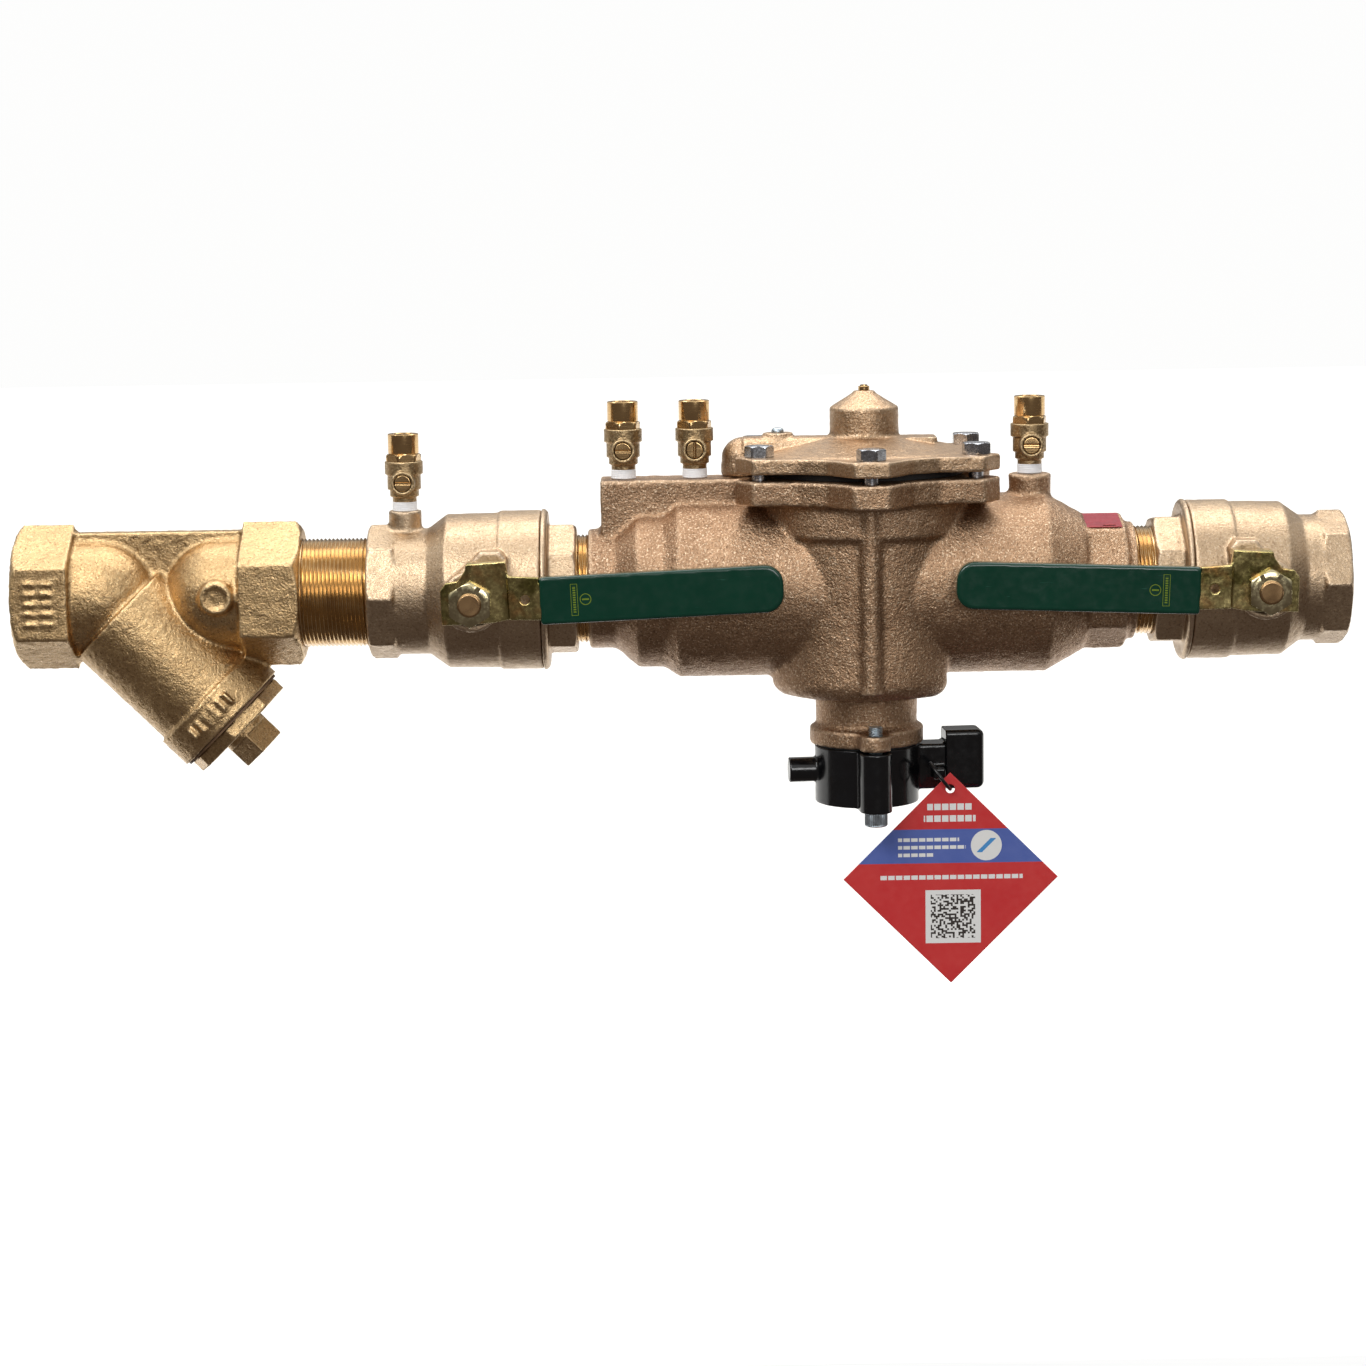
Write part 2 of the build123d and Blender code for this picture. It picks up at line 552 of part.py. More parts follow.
with BuildPart() as cover_bolts:
    with BuildSketch(upright(RELIEF_AXIS, FLANGE_BOTTOM)) as shanks:
        with PolarLocations(BOLT_CIRCLE, BOLT_COUNT, start_angle=30):
            Circle(4)
    extrude(shanks.sketch, amount=74.5 - FLANGE_BOTTOM)
    with BuildSketch(upright(RELIEF_AXIS, 74.5)) as heads:
        with PolarLocations(BOLT_CIRCLE, BOLT_COUNT, start_angle=30):
            RegularPolygon(8.25, 6)
    extrude(heads.sketch, amount=6.2)
save(cover_bolts, "cover_bolts")

with BuildPart() as bleed_screw:
    turn_upright([(0, 93), (2.5, 93), (2.5, 107.6), (3.1, 107.6), (3.1, 110.7), (0, 110.7)])
save(bleed_screw, "bleed_screw")

with BuildPart() as sensing_plug:
    rod(upright(RELIEF_AXIS - 47.8, 79), 2.5, 7)
    rod(upright(RELIEF_AXIS - 47.8, 85), 3.4, 2.8)
    fillet(sensing_plug.edges().sort_by(Axis.Z)[-1], 1.5)
save(sensing_plug, "sensing_plug")

# --- Check valves ----------------------------------------------------------------------------------------
CHECK_TRAVEL = 12.0
SPRING_WIRE = 1.4

for number, seat in CHECK_SEATS.items():
    with BuildPart() as check_seat:
        turn_on_pipe([(seat - SEAT_RING_LENGTH, 24), (seat - SEAT_RING_LENGTH, SEAT_RING_RADIUS),
                      (seat, SEAT_RING_RADIUS), (seat, 24)])
        with BuildSketch(Plane.YZ.offset(seat)) as bars:
            with PolarLocations(35.5, 3, start_angle=90):
                Rectangle(4, 6)
        extrude(bars.sketch, amount=52)
        with BuildSketch(Plane.YZ.offset(seat + 48)) as spider:
            Circle(38)
            Circle(31, mode=Mode.SUBTRACT)
            Circle(17)
            with PolarLocations(22, 3, start_angle=90):
                Rectangle(24, 6)
        extrude(spider.sketch, amount=4)
        rod(Plane.YZ.offset(seat + 44), 9, 8)
        rod(Plane.YZ.offset(seat + 40), GUIDE_BORE, 20, Mode.SUBTRACT)
    save(check_seat, f"check_{number}_seat")

    with BuildPart() as check_disc:
        rod(Plane.YZ.offset(seat + 0.05), 27.5, 3)
    save(check_disc, f"check_{number}_disc")

    with BuildPart() as check_poppet:
        rod(Plane.YZ.offset(seat + 3.05), 29, 4)
        rod(Plane.YZ.offset(seat + 5), 5, 53)
    save(check_poppet, f"check_{number}_poppet")

    with BuildPart() as check_spring:
        spring_start = seat + 7.05 + SPRING_WIRE
        spring_height = seat + 48 - SPRING_WIRE - spring_start
        with BuildLine() as coil:
            Helix(spring_height / 4.5, spring_height, 14, center=(spring_start, 0, 0),
                  direction=(1, 0, 0))
        with BuildSketch(Plane(origin=coil.line @ 0, z_dir=coil.line % 0)):
            Circle(SPRING_WIRE)
        sweep(is_frenet=True)
    save(check_spring, f"check_{number}_spring")

# --- Relief valve --------------------------------------------------------------------------------------------
DISC_BOTTOM = RELIEF_SEAT_TOP + RELIEF_TRAVEL

with BuildPart() as relief_seat:
    turn_upright([(13, -58), (VENT_BORE, -58), (VENT_BORE, RELIEF_SEAT_TOP - 1),
                  (16, RELIEF_SEAT_TOP - 1), (15.5, RELIEF_SEAT_TOP), (13.5, RELIEF_SEAT_TOP),
                  (13, RELIEF_SEAT_TOP - 1)])
save(relief_seat, "relief_seat")

with BuildPart() as relief_disc:
    rod(upright(RELIEF_AXIS, DISC_BOTTOM), 18, 3)
save(relief_disc, "relief_disc")

with BuildPart() as relief_stem:
    rod(upright(RELIEF_AXIS, DISC_BOTTOM + 3), 20, 4)
    rod(upright(RELIEF_AXIS, DISC_BOTTOM + 5), 5, 72 - DISC_BOTTOM - 5)
save(relief_stem, "relief_stem")

with BuildPart() as relief_guide:
    with BuildSketch(upright(RELIEF_AXIS, 30)) as guide_ring:
        Circle(33)
        Circle(26, mode=Mode.SUBTRACT)
        Circle(17)
        with PolarLocations(20, 3, start_angle=90):
            Rectangle(16, 8)
    extrude(guide_ring.sketch, amount=6)
    rod(upright(RELIEF_AXIS, 22), 9, 10)
    rod(upright(RELIEF_AXIS, 20), GUIDE_BORE, 20, Mode.SUBTRACT)
save(relief_guide, "relief_guide")

with BuildPart() as relief_spring:
    with BuildLine() as relief_coil:
        Helix(20 / 3.5, 20, 13, center=(RELIEF_AXIS, 0, 37.5))
    with BuildSketch(Plane(origin=relief_coil.line @ 0, z_dir=relief_coil.line % 0)):
        Circle(1.5)
    sweep(is_frenet=True)
save(relief_spring, "relief_spring")

with BuildPart() as relief_piston:
    turn_upright([(5, 59), (36, 59), (36, FLANGE_TOP), (5, FLANGE_TOP)])
    turn_upright([(5, COVER_BOTTOM), (33, COVER_BOTTOM), (33, 68), (9, 68), (9, 71), (5, 71)])
save(relief_piston, "relief_piston")

with BuildPart() as relief_diaphragm:
    turn_upright([(5, FLANGE_TOP), (54.4, FLANGE_TOP), (54.4, COVER_BOTTOM), (5, COVER_BOTTOM)])
save(relief_diaphragm, "relief_diaphragm")

# --- Test cocks -------------------------------------------------------------------------------------------------
for number, (cock_x, cock_seat, cock_open) in TEST_COCKS.items():
    plug_z = cock_seat + COCK_PLUG_HEIGHT
    with BuildPart() as cock_body:
        outline = [(0, -10), (COCK_THREAD, -10), (COCK_THREAD, 0), (6.65, 0), (6.65, 7.8), (8, 7.8)]
        outline += [(8, 11.8), (9.25, 11.8), (9.25, 20.2), (10.5, 20.2), (10.5, 27.4), (0, 27.4)]
        turn_upright([(radius, cock_seat + height) for radius, height in outline], cock_x)
        rod(facing(cock_x, plug_z, 0), 6.6, 12.5)
        rod(upright(cock_x, cock_seat - 11), 2.5, 40, Mode.SUBTRACT)
        rod(upright(cock_x, cock_seat + 22), 7, 6, Mode.SUBTRACT)
        with Locations((cock_x, 0, plug_z)):
            Sphere(5.6, mode=Mode.SUBTRACT)
        rod(facing(cock_x, plug_z, 3), 3 + RUNNING_GAP, 12, Mode.SUBTRACT)
        rod(facing(cock_x, plug_z, 9), 4.85, 5, Mode.SUBTRACT)
    save(cock_body, f"test_cock_{number}_body")

    with BuildPart() as cock_plug:
        with Locations((cock_x, 0, plug_z)):
            Sphere(5.2)
        rod(facing(cock_x, plug_z, 3), 3, 7)
        rod(facing(cock_x, plug_z, 9.3), 4.5, 2.9)
        if cock_open:
            rod(upright(cock_x, plug_z - 8), 2.4, 16, Mode.SUBTRACT)
        else:
            rod(Plane(origin=(cock_x - 8, 0, plug_z), z_dir=(1, 0, 0)), 2.4, 16, Mode.SUBTRACT)
        with BuildSketch(facing(cock_x, plug_z, 10.8)):
            Rectangle(10, 1.4, rotation=90 if cock_open else 0)
        extrude(amount=3, mode=Mode.SUBTRACT)
    save(cock_plug, f"test_cock_{number}_plug")

with BuildPart() as test_cock_ends:
    for cock_x, cock_seat, _ in TEST_COCKS.values():
        with BuildSketch(upright(cock_x, cock_seat + 27.4)) as collar:
            RegularPolygon(10, 6)
        extrude(collar.sketch, amount=3.9)
        rod(upright(cock_x, cock_seat + 22), 7, 6)
        rod(upright(cock_x, cock_seat + 31), 8.5, 11.5)
        rod(upright(cock_x, cock_seat + 21), 2.5, 20, Mode.SUBTRACT)
        rod(upright(cock_x, cock_seat + 30.5), 5.5, 13, Mode.SUBTRACT)
save(test_cock_ends, "test_cock_ends")

# --- Nameplate ---------------------------------------------------------------------------------------------------
PLATE_TILT = 13.5
PLATE_FACE = 37.9 * cos(pi / 8)
with BuildPart() as nameplate:
    normal = (0, -sin(radians(PLATE_TILT)), cos(radians(PLATE_TILT)))
    face = Plane(origin=(600, PLATE_FACE * normal[1], PLATE_FACE * normal[2]),
                 x_dir=(1, 0, 0), z_dir=normal)
    with BuildSketch(face):
        Rectangle(20, 23)
        with Locations((3, -9)):
            Rectangle(7, 1.6, mode=Mode.SUBTRACT)
    extrude(amount=0.6)
save(nameplate, "nameplate")


# --- Flood sensor -------------------------------------------------------------------------------------------------
def sensor_plane(radius, height):
    """A plane across the sensor's long direction, at a distance from the relief axis."""
    x, y = sensor_point(radius, 0)
    across, back = sensor_direction(0)
    return Plane(origin=(x, y, height), x_dir=(-back, across, 0), z_dir=(across, back, 0))


TIE_LOOP = 9.0
TIE_LEAN = 37.0  # degrees that the tie leans to the sensor, from upright
TIE_OUT = (-sin(radians(TIE_LEAN)), 0, cos(radians(TIE_LEAN)))
TIE_CENTRE = (TAG_HOLE[0] + TIE_LOOP * TIE_OUT[0], TAG_HOLE[1], TAG_HOLE[2] + TIE_LOOP * TIE_OUT[2])


def tie_ring(radius, mode=Mode.ADD):
    """The tie's wire, or the passage for it, as a full turn about the tie's centre."""
    with BuildSketch(Plane(origin=TAG_HOLE, x_dir=TIE_OUT, z_dir=(0, 1, 0))) as wire:
        Circle(radius)
    tie_axis = Vector(0, 1, 0).cross(Vector(*TIE_OUT))
    revolve(wire.sketch, axis=Axis(TIE_CENTRE, tuple(tie_axis)), mode=mode)


with BuildPart() as sensor_housing:
    rod(upright(RELIEF_AXIS, SENSOR_BOTTOM), SENSOR_RADIUS, VENT_BOTTOM - SENSOR_BOTTOM - 1)
    with BuildSketch(upright(RELIEF_AXIS, SENSOR_BOTTOM - 0.7)) as ears:
        Rectangle(18, 70, rotation=SENSOR_YAW)
    extrude(ears.sketch, amount=VENT_BOTTOM - SENSOR_BOTTOM - 0.3)
    with BuildSketch(upright(0, SENSOR_BOTTOM - 0.7)) as ear_ends:
        for screw_point in SCREW_POINTS:
            with Locations(screw_point):
                Circle(9)
    extrude(ear_ends.sketch, amount=VENT_BOTTOM - SENSOR_BOTTOM - 0.3)
    rod(sensor_plane(-44, -103.4), 7, 22)
    with BuildSketch(sensor_plane(24, -102.6)) as arm:
        RectangleRounded(17, 25.7, 2)
    extrude(arm.sketch, amount=CAP_START - 24)
    with BuildSketch(sensor_plane(CAP_START - 1, -99)) as spigot:
        Rectangle(12, 20)
    extrude(spigot.sketch, amount=11)
    with Locations((TIE_CENTRE[0], TAG_HOLE[1] + TIE_LOOP + 2.8, TIE_CENTRE[2])):
        Box(7, 11.6, 6)
    tie_ring(TIE_RADIUS + 0.2, Mode.SUBTRACT)
    rod(upright(RELIEF_AXIS, SENSOR_BOTTOM - 2), SENSOR_BORE, 40, Mode.SUBTRACT)
    for screw_x, screw_y in SCREW_POINTS:
        rod(upright(screw_x, SENSOR_BOTTOM - 2, screw_y), 4.3, 40, Mode.SUBTRACT)
save(sensor_housing, "sensor_housing")

with BuildPart() as sensor_gasket:
    rod(upright(RELIEF_AXIS, VENT_BOTTOM - 1), 28, 1)
    rod(upright(RELIEF_AXIS, VENT_BOTTOM - 1), VENT_BORE, 1, Mode.SUBTRACT)
save(sensor_gasket, "sensor_gasket")

with BuildPart() as sensor_cap:
    with BuildSketch(sensor_plane(CAP_START, -99)) as cap_outline:
        RectangleRounded(19, 33.5, 3)
    extrude(cap_outline.sketch, amount=21.9)
    fillet(sensor_cap.faces().sort_by(Axis.X)[-1].edges(), 4)
    with BuildSketch(sensor_plane(CAP_START, -99)) as socket_mouth:
        Rectangle(12.8, 20.8)
    extrude(socket_mouth.sketch, amount=11, mode=Mode.SUBTRACT)
save(sensor_cap, "sensor_cap")

with BuildPart() as sensor_screws:
    for screw_x, screw_y in SCREW_POINTS:
        rod(upright(screw_x, SENSOR_BOTTOM - 0.7, screw_y), 4, 49)
        rod(upright(screw_x, SENSOR_BOTTOM - 8.6, screw_y), 6.4, 7.9)
        with BuildSketch(upright(screw_x, SENSOR_BOTTOM - 8.6, screw_y)) as socket:
            RegularPolygon(3.6, 6)
        extrude(socket.sketch, amount=4, mode=Mode.SUBTRACT)
save(sensor_screws, "sensor_screws")

# --- Tag and its tie ------------------------------------------------------------------------------------------------
with BuildPart() as tag:
    half_diagonal = TAG_SIDE / 2 ** 0.5
    tag_centre_z = TAG_HOLE[2] + TAG_CORNER_RISE - half_diagonal
    with BuildSketch(facing(TAG_HOLE[0], tag_centre_z, -TAG_HOLE[1] - TAG_THICKNESS / 2)):
        Rectangle(TAG_SIDE, TAG_SIDE, rotation=45)
        with Locations((0, half_diagonal - TAG_CORNER_RISE)):
            Circle(2.5, mode=Mode.SUBTRACT)
    extrude(amount=TAG_THICKNESS)
save(tag, "tag")

# The tie is a closed ring that passes square through the tag's hole and through the sensor's eye.
with BuildPart() as tag_tie:
    tie_ring(TIE_RADIUS)
save(tag_tie, "tag_tie")
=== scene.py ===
import math

import bpy
import numpy as np
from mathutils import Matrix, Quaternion, Vector


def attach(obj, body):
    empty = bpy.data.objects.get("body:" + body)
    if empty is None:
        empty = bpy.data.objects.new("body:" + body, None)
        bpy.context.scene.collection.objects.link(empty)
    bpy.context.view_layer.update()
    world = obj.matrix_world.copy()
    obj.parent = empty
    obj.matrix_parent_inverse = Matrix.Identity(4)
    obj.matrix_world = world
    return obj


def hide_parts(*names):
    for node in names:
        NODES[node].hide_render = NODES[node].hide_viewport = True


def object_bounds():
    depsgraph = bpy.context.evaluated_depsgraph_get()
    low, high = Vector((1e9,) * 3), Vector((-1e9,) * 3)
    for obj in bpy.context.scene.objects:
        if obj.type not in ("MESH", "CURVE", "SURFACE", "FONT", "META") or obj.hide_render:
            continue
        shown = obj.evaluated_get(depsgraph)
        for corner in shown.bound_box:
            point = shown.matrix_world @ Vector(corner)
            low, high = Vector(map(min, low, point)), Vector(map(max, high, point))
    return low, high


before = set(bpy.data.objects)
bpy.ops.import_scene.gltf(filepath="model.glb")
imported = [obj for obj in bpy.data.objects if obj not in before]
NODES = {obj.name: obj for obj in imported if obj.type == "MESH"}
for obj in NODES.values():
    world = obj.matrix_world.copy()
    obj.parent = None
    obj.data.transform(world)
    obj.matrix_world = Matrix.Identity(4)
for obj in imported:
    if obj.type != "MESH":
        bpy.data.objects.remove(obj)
CAD_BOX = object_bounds()
MM = 0.001
SLOTS = {name: node.data.materials[0].name for name, node in NODES.items()}

# --- Camera and floor, in metres, and the camera's roll in degrees --------------------
MIDDLE = 0.3674
CAMERA_PLACE = (MIDDLE, -1.885, 0.229)
CAMERA_AIM = (MIDDLE, 0.0, -0.054)
CAMERA_ROLL = -0.917
# The floor sheet lies below and behind, out of the light that reaches the undersides.
FLOOR_FRONT, FLOOR_DROP, FLOOR_REACH = 0.42, 0.38, 12

# --- Places and sizes, in mm ----------------------------------------------------------
BALLS = {"inlet": 253.4, "outlet": 683.9}
GRIP_SIDES = {"inlet": 1, "outlet": -1}
LEVER_TILT = math.radians(2.2)
GRIP_FRONT = -66.4
NUT_FACE, NUT_FLAT, NUT_HEIGHT = -63, 11.05, 4.2
STRAINER_BRANCH = 45
COLLAR_REACH = 89
RELIEF_AXIS = 469.6
CHAMBERS = (318, 616)
CHAMBER_RADIUS, WELL_RADIUS, VENT_RADIUS = 46.5, 45.5, 23.5
CHAMBER_RISE = 46
WELL_SPAN = (-51, 61)
VENT_TOP = -44
BOLT_COUNT, BOLT_CIRCLE, BOLT_SEAT = 6, 68, 74.5
BOLT_FLAT, BOLT_HEIGHT, BOLT_SHANK = 7.1, 6.2, (3.95, 26)
BLEED_SEAT = 93
PLUG_X, PLUG_SEAT = RELIEF_AXIS - 47.8, 79
SENSOR_YAW = math.radians(5)
SENSOR_BOTTOM = -121.6
SCREW_CIRCLE, SCREW_DROP, SCREW_RISE = 35, 8.6, 24.4
SCREW_LENGTH, SCREW_CREST, SCREW_DEPTH, SCREW_PITCH = 22.5, 3.98, 0.6, 1.25
KNURLS, KNURL_DEPTH = 36, 0.16
TEST_COCKS = {1: (215.0, 45.2), 2: (336.4, 61.1), 3: (375.8, 61.1), 4: (560.9, 60.7)}
COCK_HEX_FLAT, COCK_HEX_TURN = 8.66, math.radians(13)
COCK_HEX_LOW, COCK_HEX_TOP = 27.4, 31.3
TAPE_TURNS, TAPE_LENGTH, TAPE_RADIUS = 5, 4.9, 6.95
NIPPLES = {"strainer_nipple": (158.0, 194.5), "inlet_nipple": (309.8, 316.0),
           "outlet_nipple": (618.0, 627.5)}
PIPE_PITCH, PIPE_CREST, PIPE_DEPTH, PIPE_BORE = 2.209, 30.1, 1.15, 26.2
PIPE_END = (18, 28.85)
TAG_X = 514.7
TAG_TOP = -103.4
TAG_FRONT = -20.9


# --- Camera and light -----------------------------------------------------------------
def make_camera():
    data = bpy.data.cameras.new("camera")
    data.lens = 90
    data.sensor_width = 36
    data.clip_start = 0.05
    data.clip_end = 50
    camera = bpy.data.objects.new("camera", data)
    place = Vector(CAMERA_PLACE)
    aim = Vector(CAMERA_AIM)
    camera.rotation_mode = "QUATERNION"
    roll = Quaternion((0, 0, 1), math.radians(CAMERA_ROLL))
    camera.rotation_quaternion = (aim - place).to_track_quat("-Z", "Y") @ roll
    camera.location = place
    bpy.context.collection.objects.link(camera)
    bpy.context.scene.camera = camera


def area_light(name, place, aim, size, power):
    data = bpy.data.lights.new(name, "AREA")
    data.shape = "RECTANGLE"
    data.size, data.size_y = size
    data.energy = power
    lamp = bpy.data.objects.new(name, data)
    lamp.location = place
    lamp.rotation_euler = (Vector(aim) - Vector(place)).to_track_quat("-Z", "Y").to_euler()
    bpy.context.collection.objects.link(lamp)


def make_world():
    """Soft studio surroundings, bright overhead and dark from eye level down, so that metal has shape.

    The camera sees an even pale backdrop in their place.
    """
    world = bpy.data.worlds.new("studio")
    bpy.context.scene.world = world
    world.use_nodes = True
    nodes, links = world.node_tree.nodes, world.node_tree.links
    surroundings = nodes["Background"]
    backdrop = nodes.new("ShaderNodeBackground")
    backdrop.inputs["Color"].default_value = (0.985, 0.985, 0.98, 1)
    backdrop.inputs["Strength"].default_value = 1.0
    direction = nodes.new("ShaderNodeSeparateXYZ")
    links.new(nodes.new("ShaderNodeTexCoord").outputs["Generated"], direction.inputs[0])
    ramp = nodes.new("ShaderNodeValToRGB")
    stops = ramp.color_ramp.elements
    stops[0].position, stops[0].color = 0.0, (0.13, 0.11, 0.10, 1)
    stops[1].position, stops[1].color = 1.0, (1.0, 1.0, 1.0, 1)
    for position, level in ((0.12, 0.16), (0.34, 0.62), (0.6, 1.0)):
        stop = stops.new(position)
        stop.color = (level, level * 0.99, level * 0.975, 1)
    links.new(direction.outputs["Z"], ramp.inputs["Fac"])
    links.new(ramp.outputs["Color"], surroundings.inputs["Color"])
    surroundings.inputs["Strength"].default_value = 1.0
    seen = nodes.new("ShaderNodeMixShader")
    links.new(nodes.new("ShaderNodeLightPath").outputs["Is Camera Ray"], seen.inputs[0])
    links.new(surroundings.outputs[0], seen.inputs[1])
    links.new(backdrop.outputs[0], seen.inputs[2])
    links.new(seen.outputs[0], nodes["World Output"].inputs[0])


make_camera()
make_world()
bpy.context.scene.view_settings.view_transform = "Standard"
area_light("key", (-0.35, -1.25, 1.15), (0.37, 0, 0), (1.1, 0.55), 15)
area_light("front", (0.9, -2.6, 0.55), (0.37, 0, -0.05), (0.9, 0.7), 14)
area_light("top", (0.37, 0.35, 1.3), (0.37, 0, 0), (2.0, 0.6), 15)


# --- Materials ------------------------------------------------------------------------
def linear(colour):
    """An sRGB colour of 0 to 255 as linear RGBA."""
    values = [c / 255 for c in colour]
    return [v / 12.92 if v <= 0.04045 else ((v + 0.055) / 1.055) ** 2.4 for v in values] + [1]


class Paint:
    """A procedural material, built step by step in the object's own coordinates."""

    def __init__(self, name, colour, metallic=0.0, roughness=0.5):
        self.material = bpy.data.materials.new(name)
        self.material.use_nodes = True
        self.tree = self.material.node_tree
        self.shader = self.tree.nodes["Principled BSDF"]
        self.place = self.node("ShaderNodeTexCoord").outputs["Object"]
        self.set("Base Color", linear(colour))
        self.set("Metallic", metallic)
        self.set("Roughness", roughness)
        self.material.diffuse_color = linear(colour)

    def node(self, kind, **settings):
        made = self.tree.nodes.new(kind)
        for key, value in settings.items():
            setattr(made, key, value)
        return made

    def feed(self, socket, value):
        if isinstance(value, bpy.types.NodeSocket):
            self.tree.links.new(value, socket)
        else:
            socket.default_value = value

    def set(self, name, value):
        self.feed(self.shader.inputs[name], value)

    def noise(self, scale, detail=3.0, roughness=0.55, stretch=(1, 1, 1)):
        place = self.place
        if stretch != (1, 1, 1):
            mapping = self.node("ShaderNodeMapping")
            self.feed(mapping.inputs["Vector"], place)
            mapping.inputs["Scale"].default_value = stretch
            place = mapping.outputs["Vector"]
        made = self.node("ShaderNodeTexNoise")
        self.feed(made.inputs["Vector"], place)
        self.feed(made.inputs["Scale"], scale)
        self.feed(made.inputs["Detail"], detail)
        self.feed(made.inputs["Roughness"], roughness)
        return made.outputs["Fac"]

    def axis(self, name):
        split = self.node("ShaderNodeSeparateXYZ")
        self.feed(split.inputs["Vector"], self.place)
        return split.outputs[name]

    def math(self, operation, a, b=0.0, c=0.0):
        made = self.node("ShaderNodeMath", operation=operation)
        for socket, value in zip(made.inputs, (a, b, c)):
            self.feed(socket, value)
        return made.outputs[0]

    def within(self, value, middle, half):
        """1 where a place is within half of the middle, both in mm."""
        offset = self.math("ABSOLUTE", self.math("SUBTRACT", value, middle * MM))
        return self.math("LESS_THAN", offset, half * MM)

    def either(self, *masks):
        """1 where any of the masks is 1."""
        total = masks[0]
        for mask in masks[1:]:
            total = self.math("MAXIMUM", total, mask)
        return total

    def length(self, a, b):
        squares = self.math("ADD", self.math("MULTIPLY", a, a), self.math("MULTIPLY", b, b))
        return self.math("SQRT", squares)

    def between(self, value, low, high, out_low=0.0, out_high=1.0):
        made = self.node("ShaderNodeMapRange")
        for socket, given in zip(made.inputs, (value, low, high, out_low, out_high)):
            self.feed(socket, given)
        return made.outputs[0]

    def mix(self, share, a, b):
        made = self.node("ShaderNodeMix", data_type="RGBA")
        self.feed(made.inputs["Factor"], share)
        for name, value in (("A", a), ("B", b)):
            socket = [s for s in made.inputs if s.name == name and s.type == "RGBA"][0]
            self.feed(socket, linear(value) if isinstance(value, tuple) else value)
        return [s for s in made.outputs if s.type == "RGBA"][0]

    def convexity(self, low, high):
        geometry = self.node("ShaderNodeNewGeometry")
        return self.between(geometry.outputs["Pointiness"], low, high)

    def bump(self, height, depth, strength=1.0, under=None):
        made = self.node("ShaderNodeBump")
        self.feed(made.inputs["Strength"], strength)
        self.feed(made.inputs["Distance"], depth)
        self.feed(made.inputs["Height"], height)
        if under is not None:
            self.feed(made.inputs["Normal"], under)
        self.set("Normal", made.outputs["Normal"])
        return made.outputs["Normal"]


def cast_metal(name, colour, pale, dark, rough, grain, speckle=0.5, patch=0.5):
    """Sand-cast bronze: toned patches, bright specks on the grain, dark pits, and a painted highlight on
    convex edges.
    """
    paint = Paint(name, colour, metallic=1.0, roughness=rough)
    patches = paint.between(paint.noise(26, 4), 0.35, 0.68)
    specks = paint.between(paint.noise(900, 2.5, 0.6), 0.55, 0.66)
    pits = paint.between(paint.noise(720, 3, 0.65), 0.47, 0.34)
    tone = paint.mix(paint.math("MULTIPLY", patches, patch), colour, dark)
    tone = paint.mix(paint.math("MULTIPLY", pits, 0.6), tone, dark)
    tone = paint.mix(paint.math("MULTIPLY", specks, speckle), tone, pale)
    # Painted highlight: convex edges are mixed towards the pale tone.
    tone = paint.mix(paint.math("MULTIPLY", paint.convexity(0.51, 0.58), 0.5), tone, pale)
    paint.set("Base Color", tone)
    paint.set("Roughness", paint.between(paint.noise(330, 3), 0.3, 0.7, rough - 0.08, rough + 0.1))
    coarse = paint.bump(paint.noise(780, 3, 0.6), grain * MM, 1.0)
    paint.bump(paint.noise(1700, 2, 0.6), grain * 0.35 * MM, 0.8, coarse)
    return paint.material


def turned_metal(name, colour, dark, rough, along, lines=2600):
    """Machined or drawn metal with fine lines round an axis, and faint stains."""
    paint = Paint(name, colour, metallic=1.0, roughness=rough)
    stretch = [0.04, 0.04, 0.04]
    stretch["XYZ".index(along)] = 1.0
    cuts = paint.noise(lines, 2, 0.5, tuple(stretch))
    stains = paint.between(paint.noise(90, 4), 0.4, 0.75)
    tone = paint.mix(paint.math("MULTIPLY", stains, 0.45), colour, dark)
    paint.set("Base Color", paint.mix(paint.between(cuts, 0.4, 0.7, 0.0, 0.2), tone, dark))
    paint.set("Roughness", paint.between(cuts, 0.3, 0.7, rough - 0.06, rough + 0.1))
    paint.bump(cuts, 0.02 * MM, 0.6)
    return paint.material


def plain_metal(name, colour, dark, rough, scale=160, bump=0.02):
    """Plated or polished metal with faint stains."""
    paint = Paint(name, colour, metallic=1.0, roughness=rough)
    stains = paint.between(paint.noise(scale, 5, 0.6), 0.35, 0.7)
    paint.set("Base Color", paint.mix(paint.math("MULTIPLY", stains, 0.7), colour, dark))
    paint.set("Roughness", paint.between(paint.noise(scale * 5, 3), 0.3, 0.7, rough - 0.07, rough + 0.1))
    paint.bump(paint.noise(scale * 9, 3), bump * MM, 0.5)
    return paint.material


def moulded(name, colour, pale, rough, scale=300, bump=0.04):
    """Plastic or rubber: even colour with slight mottling and a fine moulded texture."""
    paint = Paint(name, colour, metallic=0.0, roughness=rough)
    mottle = paint.between(paint.noise(scale * 0.3, 4), 0.4, 0.75)
    paint.set("Base Color", paint.mix(paint.math("MULTIPLY", mottle, 0.5), colour, pale))
    paint.set("Roughness", paint.between(paint.noise(scale, 4), 0.3, 0.7, rough - 0.05, rough + 0.1))
    paint.bump(paint.noise(scale * 3, 3), bump * MM, 0.4)
    return paint.material


